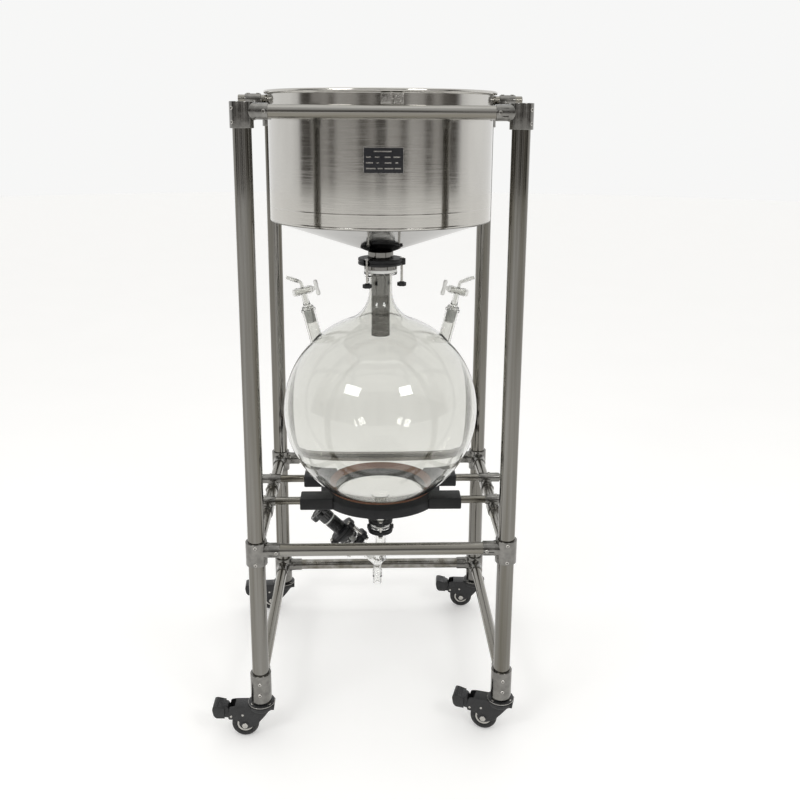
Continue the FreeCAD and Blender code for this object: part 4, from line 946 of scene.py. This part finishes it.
class FILTER_OT_funnel_fittings(bpy.types.Operator):
    """Model the trunnions, the rim clasp and the name plate"""
    bl_idname = "vacuum_filter.funnel_fittings"
    bl_label = "Funnel fittings"

    def execute(self, context):
        reach = high("funnel_trunnions", 0)
        start = FUNNEL_R + 0.3
        trunnion = turned("trunnion", [
            (0, start), (15.4, start, 0.6), (15.4, start + 1.6, 1.0), (14, start + 2.4), (14, start + 4.2, 1.2),
            (9.5, start + 4.2, 1.0), (9.5, reach, 1.4), (0, reach),
        ], axis=(1, 0, 0))
        placed(trunnion, (0, 0, TRUNNION_Z))
        web = turned("saddle", [(0, FUNNEL_R - 6), (14, FUNNEL_R - 6), (14, start + 1), (0, start + 1)],
                     axis=(1, 0, 0))
        placed(web, (0, 0, TRUNNION_Z))
        carved(trunnion, [web], "UNION")
        wall = turned("wall", [(0, 1380), (FUNNEL_R + 0.04, 1380), (FUNNEL_R + 0.04, FUNNEL_TOP - 1),
                               (RIM_R + 0.2, FUNNEL_TOP - 1), (RIM_R + 0.2, 1500), (0, 1500)], steps=256)
        carved(trunnion, [wall])
        other = copied(trunnion, "other", Matrix.Rotation(math.pi, 4, "Z"))
        done(joined("trunnion_bars", [trunnion, other]), "frame", "rail_along_x", "bar_steel", "funnel_trunnions")

        clasp_low, clasp_high = low("rim_clasp", 2), high("rim_clasp", 2)
        outer = FUNNEL_R + 7
        degrees = 57.2958 / FUNNEL_R
        lugs = []
        for first, last in ((-3, 18), (22, 43)):
            lug = swept("lug", [(FUNNEL_R + 0.1, clasp_low), (outer, clasp_low, 1.2), (outer, clasp_high, 1.2),
                                (FUNNEL_R + 0.1, clasp_high)], (first + last) / 2 * degrees,
                        (last - first) * degrees, 8)
            lugs.append(softened(lug, 0.8, 2, 40))
        centre_z = (clasp_low + clasp_high) / 2
        y = -FUNNEL_R - 3.6
        slot = [block("slot", (26, y - 8, centre_z - 8), (39, y - 0.6, centre_z - 4), 1.0)]
        carved(lugs[1], slot)
        screw = rod("screw", 2.5, 20, (10, y + 0.8, centre_z), (1, 0, 0))
        head = rod("head", 4.4, 2.6, (32.5, y - 2, centre_z + 3.6), (0, -1, 0), edge=0.9)
        dimple = fluted("dimple", 2.2, 0.3, 6, 2, 0.1, (32.5, y - 3.2, centre_z + 3.6), (0, -1, 0))
        carved(head, [dimple])
        pin = rod("pin", 3.4, 1.8, (5, y - 2, centre_z), (0, -1, 0), edge=0.7)
        done(joined("rim_clasp_lugs", lugs + [screw, head, pin]), "frame", "bright_screw", "bar_steel", "rim_clasp")

        plate_low, plate_high = low("name_plate", 2), high("name_plate", 2)
        face = FUNNEL_R + 1.0
        width = (high("name_plate", 0) - low("name_plate", 0)) * degrees
        centre = 3 * degrees
        plate = swept("name_plate_face", [(FUNNEL_R + 0.1, plate_low), (face, plate_low, 0.3),
                                          (face, plate_high, 0.3), (FUNNEL_R + 0.1, plate_high)], centre, width, 16)
        done(plate, "frame", "plate_black", "name_plate_black", "name_plate")
        marks = []

        def mark(left, right, bottom, top):
            edge = [(face - 0.1, bottom), (face + 0.35, bottom), (face + 0.35, top), (face - 0.1, top)]
            marks.append(swept("mark", edge, (left + right) / 2 * degrees, (right - left) * degrees,
                               max(2, int((right - left) / 4))))

        left, right = 3 - 42, 3 + 42
        for bottom, top in ((plate_low + 0.6, plate_low + 2.2), (plate_high - 2.2, plate_high - 0.6)):
            mark(left, right, bottom, top)
        for start_x in (left, right - 1.6):
            mark(start_x, start_x + 1.6, plate_low + 2.2, plate_high - 2.2)
        for row, words in enumerate([
            [(22, 58)], [(6, 16), (24, 33), (44, 56), (62, 76)], [(6, 20), (27, 33), (44, 58), (66, 72)],
            [(6, 26), (30, 40), (44, 62), (65, 78)],
        ]):
            for first, last in words:
                top = plate_high - 8 - row * 11.5
                mark(left + first, left + last, top - 2.6, top)
        done(joined("name_plate_border", marks), "frame", "bright_screw", "bar_steel")
        return {"FINISHED"}


# ---- flask and its ring -------------------------------------------------------------------------
def ball_outline(neck_r, drain_r, ball_r, neck_blend, drain_blend):
    """Outline of a ball with a neck and a drain, both flared into it, from the drain up to the neck."""
    above = math.sqrt((ball_r + neck_blend) ** 2 - (neck_r + neck_blend) ** 2)
    below = math.sqrt((ball_r + drain_blend) ** 2 - (drain_r + drain_blend) ** 2)
    up = math.degrees(math.atan2(above, neck_r + neck_blend))
    down = math.degrees(math.atan2(below, drain_r + drain_blend))
    return [
        (drain_r, FLASK_Z - below), ("turn", drain_r + drain_blend, FLASK_Z - below, -down, 8),
        ("turn", 0, FLASK_Z, up + down, 120), ("turn", neck_r + neck_blend, FLASK_Z + above, -up, 16),
    ]


def port_line(side):
    """Foot and direction of a side port of the flask, which the stopcock's own axis gives."""
    joint = JOINTS["stopcock_right_turn" if side > 0 else "stopcock_left_turn"]
    across = Vector(joint["axis"])
    axis = Vector((-across.z * side, 0, across.x * side)).normalized()
    if axis.z < 0:
        axis = -axis
    return Vector(joint["pos_m"]) / MM - axis * 110, axis


class FILTER_OT_flask(bpy.types.Operator):
    """Model the round flask with its flared neck, flanges, side ports and drain"""
    bl_idname = "vacuum_filter.flask"
    bl_label = "Receiving flask"

    def execute(self, context):
        steps = sizes().round_steps
        flask = turned("round_flask", [
            (0, DRAIN_Z), (25, DRAIN_Z, 1.2), (25, DRAIN_Z + 6, 1.5), (17, DRAIN_Z + 6),
        ] + ball_outline(28, 17, FLASK_R, 75, 12) + [
            (28, NECK_TOP - 6), (40, NECK_TOP - 6, 1.5), (40, NECK_TOP, 1.2), (0, NECK_TOP),
        ], steps=steps)
        hollow = turned("hollow", [(0, DRAIN_Z - 1), (12, DRAIN_Z - 1)] +
                        ball_outline(25, 12, FLASK_R - 5, 78, 15) + [(25, NECK_TOP + 1), (0, NECK_TOP + 1)], steps=steps)
        ports, bores = [], []
        for side in (-1, 1):
            foot, axis = port_line(side)
            ports.append(turned("port", [
                (0, -24), (16, -24), (16, 58), (18, 59, 0.8), (18, 65, 1.6), (0, 65),
            ], foot, axis, 72))
            bores.append(rod("bore", 12.5, 117, foot - 50 * axis, axis, edge=0.01, steps=72))
        carved(flask, ports, "UNION")
        carved(flask, [hollow] + bores)
        done(flask, "frame", "flask_glass", "clear_glass", "receiving_flask", angle=38)
        return {"FINISHED"}


class FILTER_OT_support_ring(bpy.types.Operator):
    """Model the black ring with its four arms, and the liner in its seat"""
    bl_idname = "vacuum_filter.support_ring"
    bl_label = "Support ring"

    def execute(self, context):
        seat_r = FLASK_R + 2.6
        ring = turned("ring_casting", [
            (112, RING_Z + 0.01), (150, RING_Z, 1.6), (150, RING_Z + 22, 1.6), (133, RING_Z + 32, 1.2),
            (112, RING_Z + 32),
        ], steps=144)
        arms = [
            block("arm", (min(side * 116, side * 197), y - 26, RING_Z), (max(side * 116, side * 197), y + 26, RING_Z + 29), 3.5, 4)
            for side in (-1, 1) for y in (-70, 70)
        ]
        carved(ring, arms, "UNION")
        bpy.ops.object.select_all(action="DESELECT")
        bpy.ops.mesh.primitive_uv_sphere_add(segments=144, ring_count=96, radius=seat_r * MM, location=(0, 0, FLASK_Z * MM))
        ball = bpy.context.object
        hole = rod("hole", 112, 60, (0, 0, RING_Z - 10), edge=0.01, steps=144)
        sockets = [rod("socket", 9.65, 50, (side * 150, y, BAR_Z), (side, 0, 0), edge=0.01)
                   for side in (-1, 1) for y in (-70, 70)]
        carved(ring, [ball, hole] + sockets)
        softened(ring, 1.0, 2, 30)
        done(ring, "frame", "ring_black", "black_plastic", "support_ring")

        def seat(radius, r):
            return r, FLASK_Z - math.sqrt(radius ** 2 - r ** 2)

        inside, outside = FLASK_R + 0.15, seat_r - 0.1
        turns = [math.degrees(math.asin(132 / radius) - math.asin(116 / radius)) for radius in (inside, outside)]
        liner = turned("seat_cord", [
            seat(inside, 116), seat(outside, 116), ("turn", 0, FLASK_Z, turns[1], 6), seat(inside, 132),
            ("turn", 0, FLASK_Z, -turns[0], 6),
        ], steps=144)
        done(liner, "frame", "brown_liner", "brown_liner", "seat_liner")
        return {"FINISHED"}


# ---- clamps -------------------------------------------------------------------------------------
def lobes(pitch, phase_deg):
    return [Vector((pitch * math.cos(t), pitch * math.sin(t), 0))
            for t in (math.radians(phase_deg + 120 * k) for k in range(3))]


def lobed_ring(name, hole_r, body_r, pitch, lobe_r, thick, phase_deg, origin, axis=UP):
    """Moulded clamp ring with three lobes and ribs between them."""
    edge = sizes().clamp_edge / MM
    ring = turned(name, [
        (hole_r, 0), (body_r, 0, edge), (body_r, thick * 0.36), (body_r - 1.6, thick * 0.42),
        (body_r - 1.6, thick * 0.58), (body_r, thick * 0.64), (body_r, thick, edge), (hole_r, thick, 0.8),
        (hole_r, 1),
    ], steps=96)
    blanks, bores = [], []
    for place in lobes(pitch, phase_deg):
        angle = math.atan2(place.y, place.x)
        reach = (pitch - (hole_r + 2)) / 2
        ear = block("ear", (-reach, -lobe_r, 0), (reach, lobe_r, thick), 1.2)
        placed(ear, (place.normalized() * (pitch - reach)), turn=angle)
        blanks += [ear, rod("lobe", lobe_r, thick, place, edge=1.2, steps=40)]
        bores.append(rod("bore", 3.15, thick + 2, place - UP, edge=0.01, steps=24))
    hole = rod("hole", hole_r, thick + 2, (0, 0, -1), edge=0.01, steps=96)
    carved(ring, blanks, "UNION")
    carved(ring, [hole] + bores)
    softened(ring, 0.6, 2, 42)
    return placed(ring, origin, axis)


class FILTER_OT_neck_clamp(bpy.types.Operator):
    """Model the two neck clamp rings, their knobs and the white gasket"""
    bl_idname = "vacuum_filter.neck_clamp"
    bl_label = "Neck clamp"

    def execute(self, context):
        upper, lower = STEEL_FLANGE_Z + 11, NECK_TOP - 21.5
        rings = [
            lobed_ring("ring", hole, 54, 51, 9, 15, -9, (0, 0, level))
            for level, hole in ((upper, 31), (lower, 28.5))
        ]
        done(joined("neck_clamp_halves", rings), "frame", "moulded_black", "black_plastic", "neck_clamp_rings")
        knob_z = low("neck_clamp_knobs", 2)
        knobs, shanks = [], []
        for place in lobes(51, -9):
            foot = place + UP * knob_z
            knobs.append(fluted("knob", 11, 1.3, 6, 9, 1.2, foot))
            knobs.append(turned("collar", [(0, 8.5), (7, 8.5), (5, 11, 0.5), (0, 11)], foot, steps=32))
            top = upper + 15 + 1.9 - knob_z
            shanks.append(turned("shank", [(0, 10), (3, 10), (3, top, 0.5), (0, top)], foot, steps=24))
            nut = fluted("nut", 5.6, 0.5, 6, 1.8, 0.4, place + UP * (upper + 15.05))
            shanks.append(nut)
        knobs = done(joined("neck_clamp_grips", knobs), "frame", "moulded_black", "black_plastic")
        done(joined("neck_clamp_bolts", shanks), "frame", "bright_screw", "screw_steel", "neck_clamp_knobs")
        neck = turned("neck_gasket", [
            (24, NECK_TOP + 0.1), (39.5, NECK_TOP + 0.1, 0.8), (39.5, NECK_TOP + 6.9, 0.8), (24, NECK_TOP + 6.9, 0.5),
            (24, NECK_TOP + 3),
        ], steps=96)
        drain = turned("drain_gasket", [
            (12, DRAIN_Z - 2.9), (24, DRAIN_Z - 2.9, 0.6), (24, DRAIN_Z - 0.1, 0.6), (12, DRAIN_Z - 0.1),
        ], steps=72)
        done(joined("white_gaskets", [neck, drain]), "frame", "white_ptfe", "white_ptfe", "flange_gaskets")
        return {"FINISHED"}


def clamp_bolt(length, origin, axis=UP):
    """Bolt with a domed hexagon head at its far end and a nut at its near one."""
    shank = rod("shank", 3, length, (0, 0, 0), edge=0.2, steps=24)
    nut = fluted("nut", 5, 0.4, 6, 4.5, 0.6, (0, 0, -4.9))
    head = turned("head", [(0, length + 0.3), (5.2, length + 0.3, 0.4), (5.2, length + 2.8, 1.2),
                           (3.2, length + 4.4, 0.6), (0, length + 4.4)], steps=32)
    dimple = fluted("dimple", 2.4, 0.3, 6, 3, 0.1, (0, 0, length + 2.6))
    carved(head, [dimple])
    return placed(joined("bolt", [shank, nut, head]), origin, axis)


# ---- stopcocks ----------------------------------------------------------------------------------
def bent_pipe(name, radius, start, corner, end, bend_r):
    """Pipe along two lines: a circle is extruded, spun through the bend and extruded again."""
    first, second = (corner - start).normalized(), (end - corner).normalized()
    bend = first.angle(second)
    setback = bend_r * math.tan(bend / 2)
    pole = first.cross(second).normalized()
    centre = corner - first * setback + pole.cross(first) * bend_r
    bpy.ops.object.select_all(action="DESELECT")
    bpy.ops.mesh.primitive_circle_add(vertices=32, radius=radius * MM, fill_type="NGON")
    pipe = placed(bpy.context.object, start, first)
    pipe.name = name
    bpy.ops.object.mode_set(mode="EDIT")
    bpy.ops.mesh.select_all(action="SELECT")
    run = (corner - start).length - setback
    bpy.ops.mesh.extrude_region_move(TRANSFORM_OT_translate={"value": first * run * MM})
    bpy.ops.mesh.spin(steps=10, angle=bend, center=centre * MM, axis=-pole)
    bpy.ops.mesh.extrude_region_move(
        TRANSFORM_OT_translate={"value": second * ((end - corner).length - setback) * MM})
    return closed_up(pipe)


class FILTER_OT_stopcocks(bpy.types.Operator):
    """Model the two glass stopcocks with their ground joints, plugs and ridged hose ends"""
    bl_idname = "vacuum_filter.stopcocks"
    bl_label = "Stopcocks"

    def execute(self, context):
        for name, side in (("left", -1), ("right", 1)):
            foot, axis = port_line(side)
            rim = foot + axis * 65
            centre = rim + axis * 45
            across = Vector((axis.z * side, 0, -axis.x * side))
            mount = next(m for m in frame["record"]["mounts"] if m["name"] == "vacuum_hose_" + name)
            out = Vector(mount["axis"])
            end = Vector(mount["pos_m"]) / MM + out * 4.5
            corner = centre + axis * 22
            glass = turned("stopcock_glass_" + name, [
                (0, -34), (11.2, -34, 0.6), (12.3, 0.4), (14.5, 0.5, 0.6), (14.5, 6, 1.6), (11.6, 6.5),
                (8.8, 12), (7.5, 22), (7.5, 42), (0, 42),
            ], rim, axis)
            barrel = turned("barrel", [
                (0, -18), (10, -18, 1.2), (10, -13), (9.2, -11), (9.2, 11), (10, 13), (10, 18, 1.2), (0, 18),
            ], centre, across)
            pipe = bent_pipe("pipe", 4.5, centre + axis * 6, corner, end, 8)
            ridges = [turned("ridge", [(0, 0), (4.5, 0), (5.6, 1, 0.4), (4.5, 4), (0, 4)], end - out * gap, out, 40)
                      for gap in (14, 19, 24)]
            carved(glass, [barrel, pipe] + ridges, "UNION")
            carved(glass, [
                rod("bore", 4, 82, rim - axis * 35, axis, edge=0.01, steps=32),
                rod("seat", 6.05, 38, centre - across * 19, across, edge=0.01, steps=48),
                bent_pipe("bore", 2.2, centre + axis * 4, corner, end + out, 8),
            ])
            done(glass, "frame", "stopcock_glass", "clear_glass", "port_adapter_" + name, angle=36)
            band = turned("ground_band_" + name, [
                (11.35, -33), (11.6, -33), (12.42, -1), (12.1, -1),
            ], rim, axis)
            done(band, "frame", "ground_glass", "clear_glass")

            handle = centre - across * 34
            plug = turned("stopcock_key_" + name, [
                (0, -34), (4.3, -34), (5, -25), (8.5, -22, 0.5), (8.5, -18.5, 0.6), (6, -18.5), (6, 18.5),
                (8.5, 18.5, 0.6), (8.5, 23.5, 0.8), (6, 26.4, 0.8), (0, 26.4),
            ], centre, across)
            grip = turned("grip", [
                (0, -19), (3.2, -19, 0.8), (4.9, -16, 1.0), (5.1, -11), (4.3, -4), (4.1, 0), (4.3, 4), (5.1, 11),
                (4.9, 16, 1.0), (3.2, 19, 0.8), (0, 19),
            ], handle, axis)
            carved(plug, [grip], "UNION")
            carved(plug, [rod("way", 2.2, 14, centre - axis * 7, axis, edge=0.01, steps=24)])
            done(plug, "stopcock_" + name, "white_ptfe", "white_ptfe", "stopcock_plug_" + name)
        return {"FINISHED"}


# ---- drain valve --------------------------------------------------------------------------------
class FILTER_OT_drain_valve(bpy.types.Operator):
    """Model the drain clamp and the slanted valve with its glass body, bonnet, stem and handwheel"""
    bl_idname = "vacuum_filter.drain_valve"
    bl_label = "Drain valve"

    def execute(self, context):
        inlet_top = DRAIN_Z - 3
        rings = [lobed_ring("ring", hole, 31, 32, 6.5, 10.5, 30, (0, 0, level))
                 for level, hole in ((DRAIN_Z + 6.5, 17.5), (inlet_top - 17, 15))]
        done(joined("drain_clamp_halves", rings), "frame", "moulded_black", "black_plastic", "drain_clamp_rings")

        body = turned("valve_glass", [
            (0, ELBOW.z), (14.5, ELBOW.z), (14.5, inlet_top - 6), (25, inlet_top - 6, 1.5), (25, inlet_top, 1.0),
            (0, inlet_top),
        ])
        barrel = turned("barrel", [
            (0, 0), (16, 0), (16, 84), (30, 92, 1.5), (30, 102, 1.5), (0, 102),
        ], ELBOW, VALVE_AXIS)
        bpy.ops.object.select_all(action="DESELECT")
        bpy.ops.mesh.primitive_uv_sphere_add(segments=64, ring_count=32, radius=16 * MM, location=ELBOW * MM)
        knee = bpy.context.object
        tail = turned("tail", [
            (0, -66), (11, -66, 1.2), (11, -54, 0.3), (10.3, -53.4), (10.3, -49), (12.5, -47.5, 0.6),
            (12.5, -46, 0.6), (10.3, -43), (10.3, -41), (12.5, -39.5, 0.6), (12.5, -38, 0.6), (10.3, -35),
            (10.3, -33), (12.5, -31.5, 0.6), (12.5, -30, 0.6), (10.3, -27), (10.3, 0), (0, 0),
        ], ELBOW)
        carved(body, [barrel, knee, tail], "UNION")
        bpy.ops.object.select_all(action="DESELECT")
        bpy.ops.mesh.primitive_uv_sphere_add(segments=64, ring_count=32, radius=12.5 * MM, location=ELBOW * MM)
        hollow = bpy.context.object
        carved(body, [
            hollow,
            rod("bore", 10, inlet_top - ELBOW.z + 1, (0, 0, ELBOW.z), edge=0.01),
            rod("bore", 12.5, 104, ELBOW, VALVE_AXIS, edge=0.01),
            rod("bore", 7.5, 67, ELBOW - 67 * UP, edge=0.01),
        ])
        done(body, "frame", "lamp_worked_glass", "clear_glass", "valve_body", angle=36)

        bonnet_start = 102.5
        pitch = sizes().thread_pitch / MM
        ribs = []
        for k in range(int(34 / pitch)):
            foot = 27 + k * pitch
            ribs += [(17.0, foot), (18.0, foot + pitch * 0.35), (18.0, foot + pitch * 0.65)]
        bonnet = turned("valve_bonnet_cap", [
            (6.05, 0), (28, 0, 1.2), (28, 9, 1.5), (18, 10, 1.0), (18, 26)] + ribs + [
            (17, 62), (13.5, 63), (13.5, 84, 0.8), (6.05, 84, 0.5), (6.05, 4),
        ], ELBOW + VALVE_AXIS * bonnet_start, VALVE_AXIS, 96)
        done(bonnet, "frame", "glossy_black", "black_plastic", "valve_bonnet", angle=28)
        collar = turned("valve_white_ring", [
            (14, 0.2), (17.2, 0.2, 0.6), (17.2, 3.4, 0.6), (14, 3.4, 0.4), (14, 1),
        ], ELBOW + VALVE_AXIS * (bonnet_start + 63), VALVE_AXIS, 72)
        done(collar, "frame", "white_ptfe", "white_ptfe", "valve_collar")

        rings = [
            lobed_ring("ring", hole, 36, 36.5, 7, 15, 90, ELBOW + VALVE_AXIS * level, VALVE_AXIS)
            for level, hole in ((68.5, 16.5), (113, 18.5))
        ]
        done(joined("valve_clamp_halves", rings), "frame", "moulded_black", "black_plastic", "valve_clamp_rings")
        lean = UP.rotation_difference(VALVE_AXIS)
        bolts = [clamp_bolt(DRAIN_Z + 17 - (inlet_top - 17), place + UP * (inlet_top - 17))
                 for place in lobes(32, 30)]
        bolts += [clamp_bolt(59.5, ELBOW + VALVE_AXIS * 68.5 + lean @ place, VALVE_AXIS)
                  for place in lobes(36.5, 90)]
        done(joined("clamp_bolts", bolts), "frame", "bright_screw", "screw_steel", "drain_clamp_screws")

        stem_top = 102.5 + 63 + 3.2 + 1 + 21 + 10 - 0.2
        stem = turned("valve_piston", [
            (0, 14), (8.5, 14, 1.0), (12.4, 18), (12.4, 24), (11.6, 24.5), (11.6, 26.5), (12.4, 27), (12.4, 60, 0.8),
            (6, 60, 0.5), (6, stem_top, 0.6), (0, stem_top),
        ], ELBOW, VALVE_AXIS)
        done(stem, "valve_stem", "white_ptfe", "white_ptfe", "valve_stem")

        hub_start = 102.5 + 63 + 3.2 + 1
        origin = ELBOW + VALVE_AXIS * hub_start
        wheel = fluted("valve_wheel", 31, 3.2, sizes().wheel_flutes, 14, 3.0, (0, 0, 21))
        hub = fluted("hub", 18.5, 1.1, 16, 22, 0.6)
        carved(wheel, [hub], "UNION")
        carved(wheel, [
            rod("hollow", 14.2, 20, (0, 0, -1), edge=0.01), rod("seat", 6.05, 33, (0, 0, -1), edge=0.01),
            turned("dish", [(0, 33), (22, 33.4, 1.5), (25, 36), (0, 36)]),
        ])
        softened(wheel, 0.5, 2, 50)
        placed(wheel, origin, VALVE_AXIS)
        cap = turned("cap", [(0, 32.5), (9, 32.5), (9, 33.6, 0.4), (7.5, 34.6, 0.8), (0, 34.9)], origin, VALVE_AXIS)
        done(joined("valve_handwheel_grip", [wheel, cap]), "valve_handwheel", "glossy_black", "black_plastic",
             "valve_handwheel")
        return {"FINISHED"}


# ---- castors ------------------------------------------------------------------------------------
def castor_place(name):
    """Matrix from a castor's own frame, swivel on Z and wheel towards +X, to its place."""
    axis = JOINTS["castor_%s_roll" % name]["axis"]
    x, y = CORNERS[name]
    turn = math.atan2(-axis[0], axis[1])
    return Matrix.Translation(Vector((x * HALF, y * HALF, 0)) * MM) @ Matrix.Rotation(turn, 4, "Z")


def castor_cover():
    """Smooth hood over the wheel, open below and towards the pedal."""
    hood = slab("hood", [
        (-20, 70.4), (-30, 71, 1), (-30.5, 81, 3.0), (60, 81, 3.0), (73, 79, 4), (77, 60, 3), (76, 47, 3),
        (62, 46, 4), (52, 42, 3), (48.5, 33, 3), (46, 25, 3), (38, 21.5, 3.5), (28, 23, 3.5), (10, 33, 6), (-8, 54, 8),
    ], -17, 17)
    softened(hood, 2.2, 3, 50)
    carved(hood, [
        block("wheel_well", (2, -14, 5), (72, 14, 70), 0),
        block("pedal_slot", (60.5, -14, 40), (90, 14, 90), 0),
    ])
    hub = [turned("boss", [(0, 0), (9.5, 0), (9.5, 1.2, 0.8), (7, 2.0), (0, 2.0)], (38, side * 16.8, 31.5),
                  (0, side, 0), 40) for side in (-1, 1)]
    crown = turned("crown", [(6.1, 70), (27, 70), (29.5, 72, 1), (30, 80.9, 1.5), (6.1, 81)], steps=72)
    carved(hood, hub + [crown], "UNION")
    carved(hood, [rod("bore", 6.05, 20, (0, 0, 66), edge=0.01, steps=32)])
    return softened(hood, 0.5, 2, 40)


def castor_hardware():
    """Axle bolts, rivets and pedal pin of a castor's fork."""
    axle = rod("axle", 4, 35, (38, -17.5, 31.5), (0, 1, 0))
    pieces = [axle]
    for side in (-1, 1):
        head = fluted("head", 7, 0.7, 6, 2.4, 0.7)
        pieces.append(placed(head, (38, side * 17.5, 31.5), (0, side, 0)))
        for x, z in ((70, 55), (43, 58)):
            pieces.append(turned("rivet", [(0, 0), (3, 0, 0.3), (2.6, 0.7, 0.6), (0, 1.2)], (x, side * 16.8, z),
                                 (0, side, 0), 24))
    pieces.append(rod("pedal_pin", 2.9, 34, (70, -17, 55), (0, 1, 0)))
    return joined("hardware", pieces)


class FILTER_OT_castors(bpy.types.Operator):
    """Model the swivel castors: stems and discs, hoods, wheels and brake pedals"""
    bl_idname = "vacuum_filter.castors"
    bl_label = "Castors"

    def execute(self, context):
        cover, hardware = castor_cover(), castor_hardware()
        tyre = turned("tyre", [
            (20.2, -11.5), (23, -12.5, 0.8), (25.5, -12.5), (29.5, -11, 2.0), (31.45, -7, 2.0), (31.45, 7, 2.0),
            (29.5, 11, 2.0), (25.5, 12.5), (23, 12.5, 0.8), (20.2, 11.5),
        ], (38, 0, 31.5), (0, 1, 0), 96)
        hub = turned("wheel_hub", [
            (4.1, -12.3), (10.5, -12.3, 1.0), (12.5, -9.6, 1.0), (19.6, -9.6), (20.4, -11.4), (20.4, 11.4),
            (19.6, 9.6), (12.5, 9.6, 1.0), (10.5, 12.3, 1.0), (4.1, 12.3),
        ], (38, 0, 31.5), (0, 1, 0), 72)
        rims = [turned("rim", [(14.2, 0), (19.2, 0), (18.8, 1.1, 0.4), (14.6, 1.1, 0.4)], (38, side * 9.5, 31.5),
                       (0, side, 0), 72) for side in (-1, 1)]
        rim = joined("wheel_rim", rims)
        pedal = slab("pedal", [
            (68, 51.5), (66.4, 58, 2), (70, 60.6, 2), (78, 77.5, 3), (87, 79.6, 2), (103, 83.6, 3), (110.5, 83, 3),
            (113, 74, 3), (110, 58, 4), (104, 52, 3), (88, 51.6, 3), (73, 49.6, 2),
        ], -19.6, 19.6)
        softened(pedal, 2.0, 3, 50)
        carved(pedal, [
            block("side", (60, 12.9, 40), (84.6, 24, 90), 0), block("side", (60, -24, 40), (84.6, -12.9, 90), 0),
            block("hollow", (90, -15, 50), (106, 15, 60), 3),
            rod("eye", 3.1, 60, (70, -30, 55), (0, 1, 0), edge=0.01, steps=24),
        ] + [block("groove", (x, -16, 81.5 - 0.2 * (103 - x)), (x + 1.6, 16, 90), 0) for x in (92, 97, 102)])
        softened(pedal, 0.5, 2, 45)
        first = turned("stem", [
            (0, 70.2), (5.9, 70.2, 0.6), (5.9, 81.5), (29, 81.5), (30.9, 83.2, 0.8), (30.1, 86.2, 0.8), (25, 87.2),
            (18, 89.4), (16.8, 89.4), (16.8, 119.5, 1), (0, 119.5),
        ], steps=72)
        groove = turned("race", [(29.9, 84), (31.4, 84.0), (31.4, 84.9), (29.9, 84.9)], steps=72)
        carved(first, [groove])
        bolts = joined("bolts", [placed(fluted("bolt", 3.6, 0.3, 6, 2.2, 0.4), (x, y, 86.0))
                                 for x, y in ((19.5, -15.5), (19.5, 15.5), (-19.5, 15.5), (-19.5, -15.5))])
        race = turned("race_ring", [(29.6, 83.9), (30.9, 83.9, 0.3), (30.9, 85.1, 0.3), (29.6, 85.1)], steps=72)
        stems, rings = [], []
        for name in CORNERS:
            place = castor_place(name)
            flat = Matrix.Translation(place.translation)
            stems.append(copied(first, "stem", flat))
            rings += [copied(bolts, "bolts", flat), copied(race, "race", flat)]
            done(copied(cover, "castor_hood_" + name, place), "castor_" + name, "castor_paint", "castor_black",
                 "castor_fork_" + name)
            done(copied(hardware, "castor_bolts_" + name, place), "castor_" + name, "bright_screw", "screw_steel")
            done(copied(tyre, "tyre_" + name, place), "wheel_" + name, "tyre_rubber", "castor_tyre",
                 "castor_wheel_" + name)
            done(copied(hub, "wheel_hub_" + name, place), "wheel_" + name, "castor_paint", "castor_black")
            done(copied(rim, "wheel_rim_" + name, place), "wheel_" + name, "bright_screw", "screw_steel")
            done(copied(pedal, "pedal_" + name, place), "pedal_" + name, "castor_paint", "castor_black",
                 "brake_pedal_" + name)
        for piece in (cover, hardware, tyre, hub, rim, pedal, first, bolts, race):
            bpy.data.objects.remove(piece)
        done(joined("castor_stems", stems), "frame", "castor_paint", "castor_black", "castor_mounts")
        done(joined("swivel_rings", rings), "frame", "bright_screw", "screw_steel")
        return {"FINISHED"}


# ---- panel and registration ---------------------------------------------------------------------
OPERATORS = (
    FILTER_OT_stage, FILTER_OT_tubes, FILTER_OT_connectors, FILTER_OT_cross_clamps, FILTER_OT_funnel,
    FILTER_OT_funnel_fittings, FILTER_OT_flask, FILTER_OT_support_ring, FILTER_OT_neck_clamp,
    FILTER_OT_stopcocks, FILTER_OT_drain_valve, FILTER_OT_castors,
)


class FILTER_PT_panel(bpy.types.Panel):
    """Lists the pieces of the vacuum filter with their sizes and colours"""
    bl_idname = "FILTER_PT_panel"
    bl_label = "Vacuum filter"
    bl_space_type = "VIEW_3D"
    bl_region_type = "UI"
    bl_category = "Vacuum filter"

    def draw(self, context):
        for group in (context.scene.filter_sizes, context.scene.filter_colours, context.scene.filter_studio):
            box = self.layout.box()
            for name in group.__annotations__:
                box.prop(group, name)
        for operator in OPERATORS:
            self.layout.operator(operator.bl_idname)


CLASSES = (FilterSizes, FilterColours, FilterStudio) + OPERATORS + (FILTER_PT_panel,)


def register():
    for cls in CLASSES:
        bpy.utils.register_class(cls)
    bpy.types.Scene.filter_sizes = PointerProperty(type=FilterSizes)
    bpy.types.Scene.filter_colours = PointerProperty(type=FilterColours)
    bpy.types.Scene.filter_studio = PointerProperty(type=FilterStudio)


def unregister():
    for name in ("filter_sizes", "filter_colours", "filter_studio"):
        delattr(bpy.types.Scene, name)
    for cls in reversed(CLASSES):
        bpy.utils.unregister_class(cls)


def main():
    register()
    for operator in OPERATORS:
        group, name = operator.bl_idname.split(".")
        getattr(getattr(bpy.ops, group), name)()


if __name__ == "__main__":
    main()
